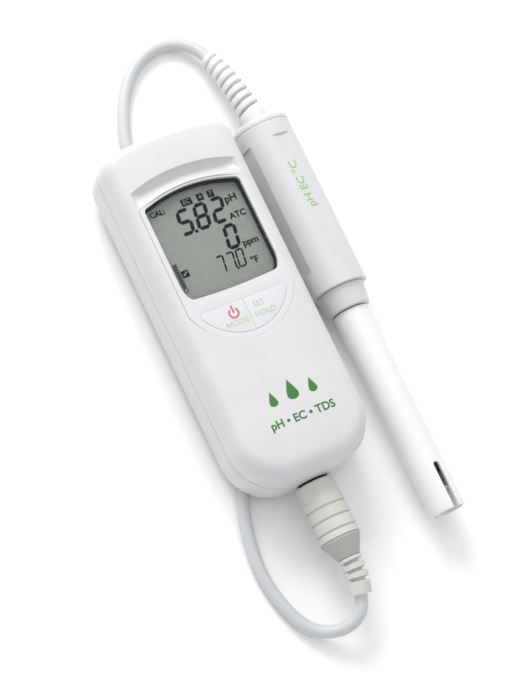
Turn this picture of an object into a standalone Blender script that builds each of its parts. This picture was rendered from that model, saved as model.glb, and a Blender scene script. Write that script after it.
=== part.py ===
"""Handheld pH, EC and TDS meter lying beside its cabled probe.

Frame: metres, +Z up, Z = 0 is the surface that everything lies on.  The case is laid out about
its own centre (X across, Y towards its head) and the whole assembly is then moved so that the
origin is at the bottom centre of the case and probe together.
"""
import bmesh
import bpy
from math import atan2, cos, pi, radians, sin, sqrt
from mathutils import Matrix, Vector

MM = 0.001
GAP = 0.3                       # gap kept between neighbouring pieces

# case
HALF_W = 29.0                   # half the case's width
HALF_L = 75.0                   # half the case's length
BACK_Z = 5.5                    # the back rests on the cable
FRONT_Z = 35.5
SPLIT_Z = 22.0                  # plane where the two shells meet
WALL = 2.2
FLOOR_T = 3.2
CEILING_Z = 31.6
HEAD_R = 7.0                    # plan radius of the corners at the head
TAIL_R = 19.0                   # plan radius of the corners at the cable end
HEAD_ARCH = 2.6
TAIL_ARCH = 1.0
ROLL_Z = 26.0                   # height where the front starts to roll over
ROLL_TOP_Z = 34.6
ROLL_SIDE, ROLL_HEAD, ROLL_TAIL = 5.5, 4.0, 9.0
CORNER_STEPS = 7

# display and keys
BEZEL_HALF_W = 23.0
BEZEL_R = 24.2
KEY_R = 21.2
KEY_CENTRE_Y = 6.5
KEY_TOP_Y = -1.4
WINDOW_HALF_W = 20.9
WINDOW_BOTTOM_Y, WINDOW_CORNER_Y, WINDOW_PEAK_Y = 4.2, 45.4, 49.3
BEZEL_CORNER_Y, BEZEL_PEAK_Y = WINDOW_CORNER_Y + 0.5, WINDOW_PEAK_Y + 0.9
BEZEL_TOP_Z = 35.1
LCD_HALF_W, LCD_Z = 20.4, (28.1, 30.9)
BROW_HALF_W = 23.0
BROW_Y, BROW_SIDE_Y = 57.6, 53.6
KEY_STEM_Z = 30.1               # the switch below it tops out at 29.4

# batteries and door
BATTERY_R, BATTERY_L, BATTERY_PITCH = 5.2, 44.5, 10.8
BATTERY_Y, BATTERY_Z = 45.0, 14.3
WELL_HALF_W, WELL_HALF_L = 16.6, 22.7   # opening in the back shell over the cells
DOOR_HALF_W, DOOR_Y0 = 18.0, 21.5
DOOR_T = 1.9

# plug and socket
PLUG_X, PLUG_Z = 0.8, 15.2
SOCKET_R = 5.9
NOSE_R = 4.9
BARREL_Y0, BARREL_Y1 = -75.9, -99.8
SOCKET_Y = BARREL_Y0 + GAP      # mouth of the socket
CONE_Y1 = -107.8

# probe
PROBE_X, PROBE_Z = 47.6, 12.0
HOUSING_R, HOUSING_WALL, HOUSING_Y0, HOUSING_Y1 = 12.0, 2.0, -7.3, 66.7
CAP_Y1 = 70.0
FLAT_HALF_W, FLAT_Y0, FLAT_Y1 = 4.2, 2.5, 60.0
FLAT_TURN = 12.0
COLLAR_R0, COLLAR_R1, COLLAR_Y1 = 10.3, 8.85, -16.6
STEM_R, STEM_Y1 = 5.9, -90.0
SLEEVE_R, SLEEVE_BORE = 7.5, 6.25
SLEEVE_Y0, SLEEVE_Y1 = -17.0, -106.3
SLOT_W, SLOT_Y0, SLOT_COUNT = 2.6, -86.8, 2

# cable
CABLE_D = 5.2
CABLE_Z = CABLE_D / 2
CABLE_STEP = 2.2                # distance between points, in diameters
CABLE_LEAD = 2.5                # straight run at each end

# bend reliefs: outer radii at the thick and thin ends, and the radius in their grooves
PROBE_COLLAR_R, PROBE_RELIEF_R0, PROBE_RELIEF_R1 = 5.6, 5.3, 4.05
PLUG_RELIEF_R0, PLUG_RELIEF_R1 = 4.7, 4.4
RELIEF_SLOT_R = 3.1

# the case and probe together are centred on the origin
CENTRE_X = (PROBE_X + HOUSING_R - HALF_W) / 2
CENTRE_Y = (HALF_L + SLEEVE_Y1) / 2

PROBE_RELIEF_PATH = [
    (47.6, 70.4, 12.0), (47.55, 72.6, 12.0), (47.1, 77.0, 11.8), (46.4, 82.0, 11.3), (45.7, 89.0, 10.5),
    (44.6, 96.0, 9.3), (43.3, 102.0, 8.0), (42.1, 106.0, 7.1),
]
PLUG_RELIEF_PATH = [
    (0.8, -108.1, 15.2), (0.8, -112.0, 15.1), (0.4, -117.0, 14.7), (-0.9, -122.4, 13.7),
]
UPPER_CABLE_ROUTE = [
    (42.0, 106.34, 7.02), (41.03, 109.56, 6.3), (38.7, 113.4, 5.0), (35.2, 116.4, 3.8),
    (31.0, 118.1, 3.0), (25.6, 118.6, 2.6), (18.5, 116.6, 2.6), (11.6, 112.3, 2.6),
    (6.2, 106.6, 2.6), (1.6, 99.5, 2.6), (-2.3, 90.8, 2.6), (-4.8, 82.2, 2.6),
    (-6.0, 71.0, 2.6), (-5.2, 60.0, 2.6), (-2.0, 48.0, 2.6), (3.0, 36.0, 2.6),
    (8.0, 24.0, 2.6), (12.2, 13.0, 2.6), (13.9, 4.2, 2.6),
    (14.0, 0.35, 2.6),
]
LOWER_CABLE_ROUTE = [
    (14.0, 0.0, 2.6), (13.9, -3.8, 2.6), (12.6, -13.0, 2.6), (9.0, -24.0, 2.6), (2.0, -36.0, 2.6),
    (-7.0, -47.0, 2.6), (-15.5, -56.5, 2.6), (-21.8, -65.5, 2.6), (-25.6, -73.0, 2.6),
    (-28.2, -82.1, 2.6), (-29.8, -91.8, 2.6), (-30.0, -101.1, 2.6), (-28.6, -110.1, 2.6),
    (-26.2, -118.0, 2.8), (-22.7, -124.9, 3.5), (-17.8, -129.3, 5.0), (-12.0, -131.4, 7.4),
    (-6.8, -130.8, 10.1), (-3.3, -128.2, 12.2), (-1.48, -124.8, 13.26), (-0.98, -122.73, 13.64),
]


# ---------------------------------------------------------------- scene helpers
def clear_scene():
    for old in list(bpy.data.objects):
        bpy.data.objects.remove(old, do_unlink=True)


def make_material(name, colour, roughness, metallic=0.0):
    mat = bpy.data.materials.new(name)
    mat.use_nodes = True
    shader = mat.node_tree.nodes["Principled BSDF"]
    shader.inputs["Base Color"].default_value = (*colour, 1.0)
    shader.inputs["Roughness"].default_value = roughness
    shader.inputs["Metallic"].default_value = metallic
    mat.diffuse_color = (*colour, 1.0)
    return mat


def make_empty(name, origin, parent=None):
    """Empty at a point of the case's frame, in millimetres; its children are placed from it."""
    empty = bpy.data.objects.new(name, None)
    bpy.context.scene.collection.objects.link(empty)
    start = Vector(parent["origin"]) if parent else Vector((CENTRE_X, CENTRE_Y, 0.0))
    empty["origin"] = origin
    empty.parent = parent
    empty.location = (Vector(origin) - start) * MM
    return empty


def add_object(name, bm, parent, mat):
    """Object from a bmesh in case-frame millimetres, its origin at its parent empty."""
    bmesh.ops.translate(bm, verts=bm.verts, vec=-Vector(parent["origin"]))
    bmesh.ops.scale(bm, verts=bm.verts, vec=(MM, MM, MM))
    bmesh.ops.recalc_face_normals(bm, faces=bm.faces)
    mesh = bpy.data.meshes.new(name)
    bm.to_mesh(mesh)
    bm.free()
    mesh.materials.append(mat)
    mesh.shade_smooth()
    mesh.set_sharp_from_angle(angle=radians(32))
    obj = bpy.data.objects.new(name, mesh)
    bpy.context.scene.collection.objects.link(obj)
    obj.parent = parent
    return obj


def apply_tool(target, bm, operation="DIFFERENCE"):
    """Cut a shape out of an object, or join one to it."""
    number = len(target.modifiers) + 1
    tool = add_object(f"{target.name}_tool_{number}", bm, target.parent, target.data.materials[0])
    tool.hide_render = True
    tool.display_type = "WIRE"
    modifier = target.modifiers.new(f"{operation.lower()}_{number}", "BOOLEAN")
    modifier.object = tool
    modifier.operation = operation
    modifier.solver = "EXACT"


# ---------------------------------------------------------------- shape helpers
def loft(rings, closed=False):
    """Skin over rings of equal length; the ends are capped unless the rings close on themselves."""
    bm = bmesh.new()
    rows = [[bm.verts.new(p) for p in ring] for ring in rings]
    count = len(rows[0])
    pairs = list(zip(rows, rows[1:]))
    if closed:
        pairs.append((rows[-1], rows[0]))
    for lower, upper in pairs:
        for i in range(count):
            j = (i + 1) % count
            bm.faces.new((lower[i], lower[j], upper[j], upper[i]))
    if not closed:
        bm.faces.new(rows[0][::-1])
        bm.faces.new(rows[-1])
    return bm


def prism(points, z0, z1):
    """Upright prism over a plan outline."""
    return loft([[(x, y, z) for x, y in points] for z in (z0, z1)])


def box(x0, x1, y0, y1, z0, z1):
    return prism([(x0, y0), (x1, y0), (x1, y1), (x0, y1)], z0, z1)


def arc(cx, cy, radius, start, end, steps):
    """Points on a circle from start to end, in degrees."""
    turns = [radians(start + (end - start) * i / steps) for i in range(steps + 1)]
    return [(cx + radius * cos(t), cy + radius * sin(t)) for t in turns]


def lathe_y(profile, x, z, sides=24, closed=False, phase=0.0):
    """Solid turned about an axis along Y from (radius, y) points.

    A closed profile makes a ring; otherwise both ends are flat discs.
    """
    rings = []
    for radius, y in profile:
        turns = [2 * pi * (i + phase) / sides for i in range(sides)]
        rings.append([(x + radius * sin(t), y, z + radius * cos(t)) for t in turns])
    return loft(rings, closed)


def cylinder_z(x, y, radius, z0, z1, sides=16):
    return prism(arc(x, y, radius, 0, 360 - 360 / sides, sides - 1), z0, z1)


def smooth_path(points, step):
    """Evenly spaced points on the Catmull-Rom curve through hand-placed points."""
    pts = [Vector(p) for p in points]
    pts = [2 * pts[0] - pts[1]] + pts + [2 * pts[-1] - pts[-2]]
    fine = []
    for p0, p1, p2, p3 in zip(pts, pts[1:], pts[2:], pts[3:]):
        for k in range(24):
            t = k / 24
            fine.append(0.5 * (2 * p1 + (p2 - p0) * t + (2 * p0 - 5 * p1 + 4 * p2 - p3) * t * t
                               + (3 * p1 - p0 - 3 * p2 + p3) * t ** 3))
    fine.append(pts[-2])
    total = sum((b - a).length for a, b in zip(fine, fine[1:]))
    count = max(2, round(total / step))
    out, run, target = [fine[0]], 0.0, total / count
    for a, b in zip(fine, fine[1:]):
        length = (b - a).length
        while run + length >= target - 1e-9 and len(out) < count:
            out.append(a.lerp(b, (target - run) / length))
            target += total / count
        run += length
    return out + [fine[-1]]


def sweep(path, radii, sides=14):
    """Solid with a round section whose radius varies along a path."""
    rings = []
    side = Vector((0, 0, 1))
    for i, point in enumerate(path):
        ahead = (path[min(i + 1, len(path) - 1)] - path[max(i - 1, 0)]).normalized()
        side = (side - ahead * side.dot(ahead)).normalized()
        across = ahead.cross(side)
        rings.append([point + radii[i] * (cos(2 * pi * k / sides) * side
                                          + sin(2 * pi * k / sides) * across) for k in range(sides)])
    return loft(rings)


# ---------------------------------------------------------------- case
def case_ring(z, side, head, tail):
    """Plan outline of the case at one height, drawn in by the given insets."""
    hw = HALF_W - side
    head_r = max(HEAD_R - 0.35 * (side + head), 2.5)
    tail_r = TAIL_R - 0.5 * (side + tail)
    top = HALF_L - head - HEAD_ARCH
    bottom = -HALF_L + tail + TAIL_ARCH
    plan = arc(hw - head_r, top - head_r, head_r, 0, 90, CORNER_STEPS)
    plan += [(x, top) for x in (hw * 0.45, 0.0, -hw * 0.45)]
    plan += arc(-hw + head_r, top - head_r, head_r, 90, 180, CORNER_STEPS)
    plan += arc(-hw + tail_r, bottom + tail_r, tail_r, 180, 270, CORNER_STEPS)
    plan += [(0.0, bottom)]
    plan += arc(hw - tail_r, bottom + tail_r, tail_r, 270, 360, CORNER_STEPS)
    ring = []
    for x, y in plan:
        arch = 1 - (x / hw) ** 2
        ring.append((x, y + (HEAD_ARCH if y > 0 else -TAIL_ARCH) * arch, z))
    return ring


def roll_rings(depth, base_z, steps):
    """Rings of the rolled front edge, `depth` inside the outer skin."""
    top_z = ROLL_TOP_Z - (FRONT_Z - CEILING_Z - 0.4 if depth else 0.0)
    rings = []
    for i in range(steps + 1):
        t = pi / 2 * i / steps
        grow = 1 - cos(t)
        rings.append(case_ring(base_z + (top_z - base_z) * sin(t), depth + 0.25 + ROLL_SIDE * grow,
                               depth + 0.25 + ROLL_HEAD * grow, depth + 0.25 + ROLL_TAIL * grow))
    return rings


def inset_ring(z, inset):
    return case_ring(z, inset, inset, inset)


def shield(half_w, radius, top_y, corner_y, grow=0.0):
    """Outline of the display bezel: straight sides, arched top, round bottom."""
    start = -radians(180) + atan2(sqrt(radius ** 2 - half_w ** 2), half_w)
    first = start * 180 / pi
    points = arc(0, KEY_CENTRE_Y, radius + grow, first, -180 - first, 14)
    points += [(half_w + grow, corner_y + grow - 1.2), (half_w + grow - 1.2, corner_y + grow + 0.1)]
    points += arch_points(half_w + grow - 1.2, corner_y + grow + 0.1, top_y + grow)
    points += [(-half_w - grow + 1.2, corner_y + grow + 0.1), (-half_w - grow, corner_y + grow - 1.2)]
    return points


def arch_points(half_w, side_y, peak_y, count=5):
    """Inner points of a shallow arch from +half_w to -half_w, without its ends."""
    points = []
    for i in range(1, count + 1):
        x = half_w * (1 - 2 * i / (count + 1))
        points.append((x, side_y + (peak_y - side_y) * (1 - (x / half_w) ** 2)))
    return points


def window_outline(grow=0.0):
    """Outline of the display window: rounded corners and an arched top."""
    hw = WINDOW_HALF_W + grow
    low, corner, peak = WINDOW_BOTTOM_Y - grow, WINDOW_CORNER_Y + grow, WINDOW_PEAK_Y + grow
    r = 2.4
    points = arc(-hw + r, low + r, r, 180, 270, 3) + arc(hw - r, low + r, r, 270, 360, 3)
    points += arc(hw - r, corner - r + 0.8, r, 0, 70, 3)
    points += arch_points(hw - r, corner + 0.8, peak)
    return points + arc(-hw + r, corner - r + 0.8, r, 110, 180, 3)


def key_outline(side, grow=0.0):
    """Half of the half-moon key pad: side is -1 for the left key and 1 for the right one."""
    inner = 0.25 - grow
    radius = KEY_R + grow
    top = KEY_TOP_Y + grow
    low = KEY_CENTRE_Y - sqrt(radius ** 2 - inner ** 2)
    corner = 19.0 + grow
    start = atan2(top - 2.2 - KEY_CENTRE_Y, corner) * 180 / pi
    rim = arc(0, KEY_CENTRE_Y, radius, -90 + inner, start, 9)[1:]
    points = [(inner, low)] + rim + [(corner - 0.3, top - 0.9), (corner - 1.4, top), (inner, top)]
    return [(side * x, y) for x, y in points][::side]


def make_front_shell(parent, mat):
    outer = [inset_ring(SPLIT_Z + GAP / 2, 0.0)] + roll_rings(0.0, ROLL_Z, 6)
    crown = case_ring(35.3, ROLL_SIDE + 5, ROLL_HEAD + 5, ROLL_TAIL + 6)
    outer += [crown, case_ring(FRONT_Z, ROLL_SIDE + 11, ROLL_HEAD + 13, ROLL_TAIL + 16)]
    rim_z = SPLIT_Z + 0.9
    inner = roll_rings(WALL, ROLL_Z, 4)[::-1]
    inner += [inset_ring(rim_z, WALL), inset_ring(rim_z, 1.1), inset_ring(SPLIT_Z + GAP / 2, 1.1)]
    shell = add_object("front_shell", close_shell(outer, inner), parent, mat)
    for x, y in SCREW_PLACES:
        apply_tool(shell, cylinder_z(x, y, 2.7, 23.6, 31.9, 12), "UNION")
        apply_tool(shell, cylinder_z(x, y, 1.6, 20.0, 28.5, 10))
    pocket = shield(BEZEL_HALF_W, BEZEL_R, BEZEL_PEAK_Y, BEZEL_CORNER_Y, GAP)
    apply_tool(shell, prism(pocket, 33.1, 40.0))
    apply_tool(shell, prism(window_outline(0.5), 29.0, 40.0))
    apply_tool(shell, prism(half_moon(1.1), 29.0, 40.0))
    apply_tool(shell, brow_scoop())
    return shell


def half_moon(grow):
    """Outline of both keys together."""
    right = key_outline(1, grow)
    return [p for p in right[1:-1]] + [(-x, y) for x, y in right[1:-1]][::-1]


def close_shell(outer, inner):
    """Loft the outer rings and then the inner rings back to the start as one closed skin."""
    bm = bmesh.new()
    rings = outer[::-1] + inner[::-1]
    rows = [[bm.verts.new(p) for p in ring] for ring in rings]
    count = len(rows[0])
    for lower, upper in zip(rows, rows[1:]):
        for i in range(count):
            j = (i + 1) % count
            bm.faces.new((lower[i], lower[j], upper[j], upper[i]))
    bm.faces.new(rows[0][::-1])
    bm.faces.new(rows[-1])
    return bm


def brow_scoop():
    """Crescent cut under the brow: it deepens from the window's edge to the brow."""
    columns = 12
    rings = []
    for i in range(columns + 1):
        x = BROW_HALF_W * (-1 + 2 * i / columns)
        brow = BROW_SIDE_Y + (BROW_Y - BROW_SIDE_Y) * (1 - (x / BROW_HALF_W) ** 2)
        edge = WINDOW_CORNER_Y + 1.0 + (WINDOW_PEAK_Y - WINDOW_CORNER_Y) * (1 - (x / BROW_HALF_W) ** 2)
        deep = 33.0 + 1.5 * (x / BROW_HALF_W) ** 2
        rings.append([(x, edge, 35.0), (x, 0.6 * edge + 0.4 * brow, deep + 0.9),
                      (x, brow - 1.6, deep + 0.15), (x, brow - 0.4, deep + 0.3), (x, brow, deep + 1.2),
                      (x, brow, 40.0), (x, edge, 40.0)])
    return loft(rings)


def make_back_shell(parent, mat):
    radius = 3.0
    outer = []
    for i in range(5):
        t = pi / 2 * i / 4
        outer.append(inset_ring(BACK_Z + radius * (1 - cos(t)), 0.4 + radius * (1 - sin(t))))
    outer.append(inset_ring(SPLIT_Z - GAP / 2, 0.0))
    inner = [inset_ring(SPLIT_Z - GAP / 2, WALL), inset_ring(BACK_Z + FLOOR_T, WALL + 0.4)]
    bm = loft(outer + inner)
    shell = add_object("back_shell", bm, parent, mat)
    apply_tool(shell, box(-DOOR_HALF_W - GAP, DOOR_HALF_W + GAP, DOOR_Y0 - GAP, HALF_L + 5, 0.0,
                          BACK_Z + DOOR_T + GAP))
    x, y = WELL_HALF_W, WELL_HALF_L
    apply_tool(shell, box(-x, x, BATTERY_Y - y, BATTERY_Y + y, 6.0, 9.5))
    socket_y = -HALF_L - 5
    apply_tool(shell, lathe_y([(SOCKET_R + GAP, socket_y), (SOCKET_R + GAP, -70.0)], PLUG_X, PLUG_Z))
    for x, y in SCREW_PLACES:
        apply_tool(shell, cylinder_z(x, y, 2.8, 0.0, 8.0))
        apply_tool(shell, cylinder_z(x, y, 1.6, 5.0, 12.0, 10))
    return shell


SCREW_PLACES = [(23.2, 60.0), (-23.2, 60.0), (17.5, -60.0), (-17.5, -60.0)]


def make_case_gasket(parent, mat):
    z0, z1 = SPLIT_Z + 0.15, SPLIT_Z + 0.6
    rings = [inset_ring(z0, 1.4), inset_ring(z1, 1.4), inset_ring(z1, 2.1), inset_ring(z0, 2.1)]
    add_object("case_gasket", loft(rings, closed=True), parent, mat)


def make_case_screws(parent, mat):
    for number, (x, y) in enumerate(SCREW_PLACES, 1):
        profile = [(2.5, 6.0), (2.5, 7.4), (1.25, 7.7), (1.25, 27.5)]
        rings = [[(px, py, z) for px, py in arc(x, y, r, 0, 330, 11)] for r, z in profile]
        screw = add_object(f"case_screw_{number}", loft(rings), parent, mat)
        for wide, deep in ((1.7, 0.35), (0.35, 1.7)):
            apply_tool(screw, box(x - wide, x + wide, y - deep, y + deep, 5.0, 6.9))


# ---------------------------------------------------------------- display
def make_display(parent, mats):
    outline = shield(BEZEL_HALF_W, BEZEL_R, BEZEL_PEAK_Y, BEZEL_CORNER_Y)
    bezel = add_object("display_bezel", prism(outline, 33.4, BEZEL_TOP_Z), parent, mats["gloss"])
    apply_tool(bezel, prism(window_outline(), 30.0, 40.0))
    apply_tool(bezel, prism(half_moon(0.25), 30.0, 40.0))
    add_object("display_window", prism(window_outline(-GAP), 33.5, 34.9), parent, mats["window"])
    frame = add_object("lcd_frame", prism(window_outline(0.1), 31.2, 33.1), parent, mats["black"])
    apply_tool(frame, prism(window_outline(-1.2), 28.0, 36.0))
    x, z = LCD_HALF_W, LCD_Z
    add_object("lcd_panel", box(-x, x, WINDOW_BOTTOM_Y + GAP, WINDOW_PEAK_Y - GAP, *z), parent, mats["lcd"])
    for name, y in (("elastomer_strip_lower", 7.4), ("elastomer_strip_upper", 47.4)):
        add_object(name, box(-19.0, 19.0, y - 1.1, y + 1.1, 26.4, 27.8), parent, mats["rubber"])


def make_electronics(parent, mats):
    board = [(-24, -44), (24, -44), (24, 54), (-24, 54)]
    add_object("main_board", prism(board, 24.5, 26.1), parent, mats["board"])
    add_object("controller_chip", box(-7, 7, -36, -22, 22.9, 24.2), parent, mats["black"])
    for name, x in (("mode_switch", -7.5), ("set_switch", 7.5)):
        switch = loft([inner_square(x, -7.0, 3.0, 26.4), inner_square(x, -7.0, 3.0, 28.6),
                       inner_square(x, -7.0, 1.6, 28.6), inner_square(x, -7.0, 1.6, 29.4)])
        add_object(name, switch, parent, mats["steel"])


def inner_square(x, y, half, z):
    return [(x - half, y - half, z), (x + half, y - half, z), (x + half, y + half, z),
            (x - half, y + half, z)]


def make_key(name, side, parent, mat):
    key = add_object(name, prism(key_outline(side), 32.6, 35.25), parent, mat)
    flange = prism(key_outline(side, 0.0), 31.7, 32.9)
    apply_tool(key, flange, "UNION")
    apply_tool(key, cylinder_z(side * 7.5, -7.0, 2.4, KEY_STEM_Z, 32.9, 12), "UNION")


# ---------------------------------------------------------------- batteries
def make_batteries(parent, mats):
    y0, y1 = BATTERY_Y - BATTERY_L / 2, BATTERY_Y + BATTERY_L / 2
    for number in range(3):
        x = (number - 1) * BATTERY_PITCH
        cell = [(BATTERY_R, y0), (BATTERY_R, y1 - 1.4), (1.9, y1 - 1.1), (1.9, y1 - 0.2)]
        add_object(f"battery_{number + 1}", lathe_y(cell, x, BATTERY_Z, 20), parent, mats["battery"])
    for name, y in (("contact_plate_lower", y0 - 1.0), ("contact_plate_upper", y1 + 0.1)):
        plate = box(-16.0, 16.0, y, y + 0.5, 10.0, 18.6)
        add_object(name, plate, parent, mats["steel"])
    ends = BATTERY_L / 2 + 1.4
    tray = box(-17.8, 17.8, BATTERY_Y - ends - 1.0, BATTERY_Y + ends + 1.0, 9.0, 21.2)
    tray = add_object("battery_tray", tray, parent, mats["black"])
    apply_tool(tray, box(-16.5, 16.5, BATTERY_Y - ends, BATTERY_Y + ends, 5.0, 20.0))


def make_battery_door(parent, mat):
    x, y0, y1 = DOOR_HALF_W, DOOR_Y0, HALF_L - 1.5
    z1 = BACK_Z + DOOR_T
    side = [(y0, BACK_Z), (y1 - 2.6, BACK_Z), (y1 - 1.4, BACK_Z + 0.5), (y1 - 0.4, BACK_Z + 1.4),
            (y1, z1), (y0, z1)]
    bm = loft([[(px, py, pz) for py, pz in side] for px in (-x, x)])
    door = add_object("battery_door", bm, parent, mat)
    for i in range(5):
        y = 58.0 + 2.2 * i
        apply_tool(door, box(-8.0, 8.0, y, y + 1.0, BACK_Z - 1.0, BACK_Z + 0.5))


# ---------------------------------------------------------------- socket and plug
def ring_of_pins(count, radius):
    places = [(0.0, 0.0)]
    return places + [(radius * sin(2 * pi * i / count), radius * cos(2 * pi * i / count))
                     for i in range(count)]


def make_socket(parent, mats):
    tube = [(SOCKET_R, SOCKET_Y), (NOSE_R + GAP, SOCKET_Y), (NOSE_R + GAP, -62.0), (SOCKET_R, -62.0)]
    add_object("sensor_socket", lathe_y(tube, PLUG_X, PLUG_Z, 28, True), parent, mats["black"])
    insert = lathe_y([(4.9, -64.0), (4.9, -62.2)], PLUG_X, PLUG_Z, 20)
    insert = add_object("socket_insert", insert, parent, mats["brass"])
    for dx, dz in ring_of_pins(6, 2.4):
        pin = lathe_y([(0.4, -71.0), (0.4, -63.0)], PLUG_X + dx, PLUG_Z + dz, 8)
        apply_tool(insert, pin, "UNION")


def barrel_profile():
    """Grip of the plug: a plain nose end, then bands with grooves between them."""
    points = [(7.5, BARREL_Y0), (7.9, BARREL_Y0 - 0.5), (8.0, -83.0), (8.35, -83.5)]
    for y in (-86.4, -91.4, -96.4):
        points += [(8.4, y), (7.75, y - 0.15), (7.75, y - 0.7), (8.4, y - 0.85)]
    return points + [(8.4, BARREL_Y1 + 0.4), (8.2, BARREL_Y1)]


def make_plug(parent, mats):
    barrel = lathe_y(barrel_profile(), PLUG_X, PLUG_Z, 36)
    add_object("connector_barrel", barrel, parent, mats["plug"])
    nose = [(NOSE_R, SOCKET_Y), (4.1, SOCKET_Y), (4.1, -66.0), (NOSE_R - 0.3, -66.0), (NOSE_R, -66.4)]
    add_object("connector_nose", lathe_y(nose, PLUG_X, PLUG_Z, 28, True), parent, mats["steel"])
    insert = lathe_y([(3.8, SOCKET_Y), (3.8, -68.5)], PLUG_X, PLUG_Z, 20)
    insert = add_object("connector_insert", insert, parent, mats["black"])
    for dx, dz in ring_of_pins(6, 2.4):
        hole = lathe_y([(0.7, -72.0), (0.7, -60.0)], PLUG_X + dx, PLUG_Z + dz, 8)
        apply_tool(insert, hole)
    cone = lathe_y([(8.2, BARREL_Y1 - GAP), (8.2, BARREL_Y1 - 0.9), (4.6, CONE_Y1)], PLUG_X, PLUG_Z, 32)
    add_object("connector_cone", cone, parent, mats["cone"])
    path = smooth_path(PLUG_RELIEF_PATH, 0.45)
    add_object("connector_strain_relief", sweep(path, banded_radii(path, 3, 0.30), 14),
               parent, mats["plug"])


def banded_radii(path, slots, slot_share):
    """Radii along the plug's relief: bands parted by slots, with a plain band at each end."""
    radii = []
    for i in range(len(path)):
        t = i / (len(path) - 1)
        outer = PLUG_RELIEF_R0 + (PLUG_RELIEF_R1 - PLUG_RELIEF_R0) * t
        phase = t * (slots + 1 + 0.2) - 0.6
        near = abs(phase - round(phase))
        in_slot = 0 <= round(phase) < slots and near < slot_share / 2
        radii.append(RELIEF_SLOT_R if in_slot else outer)
    return radii


# ---------------------------------------------------------------- probe
def make_probe_head(parent, mats):
    bore = HOUSING_R - HOUSING_WALL
    tube = [(HOUSING_R, HOUSING_Y0 + 0.5), (HOUSING_R, HOUSING_Y1), (bore, HOUSING_Y1),
            (bore, HOUSING_Y0), (HOUSING_R - 0.5, HOUSING_Y0)]
    housing = add_object("probe_housing", lathe_y(tube, PROBE_X, PROBE_Z, 48, True), parent,
                         mats["shell"])
    depth = HOUSING_R - sqrt(HOUSING_R ** 2 - FLAT_HALF_W ** 2)
    for quarter in range(4):
        turn = radians(FLAT_TURN + 90 * quarter)
        flat = box(-6, 6, FLAT_Y0, FLAT_Y1, HOUSING_R - depth, HOUSING_R + 3)
        bmesh.ops.rotate(flat, verts=flat.verts, cent=(0, 0, 0), matrix=Matrix.Rotation(turn, 3, "Y"))
        bmesh.ops.translate(flat, verts=flat.verts, vec=(PROBE_X, 0, PROBE_Z))
        apply_tool(housing, flat)
    cap = [(HOUSING_R, HOUSING_Y1 + GAP), (HOUSING_R, CAP_Y1 - 1.8), (HOUSING_R - 0.5, CAP_Y1 - 0.7),
           (HOUSING_R - 1.8, CAP_Y1)]
    add_object("probe_cap", lathe_y(cap, PROBE_X, PROBE_Z, 48), parent, mats["shell"])
    add_object("amplifier_board", box(PROBE_X - 8.0, PROBE_X + 8.0, 4.0, 60.0, 11.2, 12.8), parent,
               mats["board"])
    path = smooth_path(PROBE_RELIEF_PATH, 0.62)
    radii = ringed_radii(path)
    add_object("probe_strain_relief", sweep(path, radii, 12), parent, mats["plug"])


def ringed_radii(path, rings=8):
    """Radii of the long relief: a plain collar, then rings that shrink towards the cable."""
    collar, groove = 0.17, 0.40     # shares of the whole length and of one ring's pitch
    radii = []
    for i in range(len(path)):
        t = i / (len(path) - 1)
        if t < collar:
            radii.append(PROBE_COLLAR_R - 4.0 * max(0.0, t - collar * 0.6))
            continue
        along = (t - collar) / (1 - collar) * rings
        outer = PROBE_RELIEF_R0 + (PROBE_RELIEF_R1 - PROBE_RELIEF_R0) * along / rings
        in_ring = along - int(along) > groove or along >= rings - 0.2
        radii.append(outer if in_ring else RELIEF_SLOT_R)
    return radii


def make_probe_tip(parent, mats):
    collar = [(COLLAR_R0, HOUSING_Y0 - GAP), (COLLAR_R1 + 0.15, COLLAR_Y1 + 1.0),
              (COLLAR_R1 + 0.1, COLLAR_Y1 + 0.3), (COLLAR_R1 - 0.3, COLLAR_Y1)]
    add_object("probe_collar", lathe_y(collar, PROBE_X, PROBE_Z, 40), parent, mats["shell"])
    stem = [(STEM_R, COLLAR_Y1 - GAP), (STEM_R, -21.8), (4.7, -21.9), (4.7, -23.9), (STEM_R, -24.0),
            (STEM_R, STEM_Y1 + 0.8), (STEM_R - 0.8, STEM_Y1)]
    add_object("probe_stem", lathe_y(stem, PROBE_X, PROBE_Z, 28), parent, mats["stem"])
    seal = [(5.52 + 0.52 * cos(2 * pi * k / 8), -22.9 + 0.52 * sin(2 * pi * k / 8)) for k in range(8)]
    add_object("sleeve_seal", lathe_y(seal, PROBE_X, PROBE_Z, 24, True), parent, mats["rubber"])
    bulb = [(2.0, STEM_Y1 - GAP), (2.1, -92.0), (2.9, -93.2), (3.3, -94.8), (3.0, -96.3), (1.9, -97.5),
            (0.7, -98.0)]
    add_object("ph_bulb", lathe_y(bulb, PROBE_X, PROBE_Z, 20), parent, mats["glass"])
    pins = [("ec_electrode_1", 12.0, 1.0, "black"), ("ec_electrode_2", 192.0, 1.0, "black"),
            ("temperature_sensor", 102.0, 1.0, "steel"), ("reference_junction", 282.0, 1.0, "ceramic")]
    for name, turn, radius, finish in pins:
        x = PROBE_X + 4.5 * sin(radians(turn))
        z = PROBE_Z + 4.5 * cos(radians(turn))
        end = -91.2 if name == "reference_junction" else -97.0
        pin = [(radius, STEM_Y1 - GAP), (radius, end + 0.5), (radius * 0.5, end)]
        add_object(name, lathe_y(pin, x, z, 12), parent, mats[finish])


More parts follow.
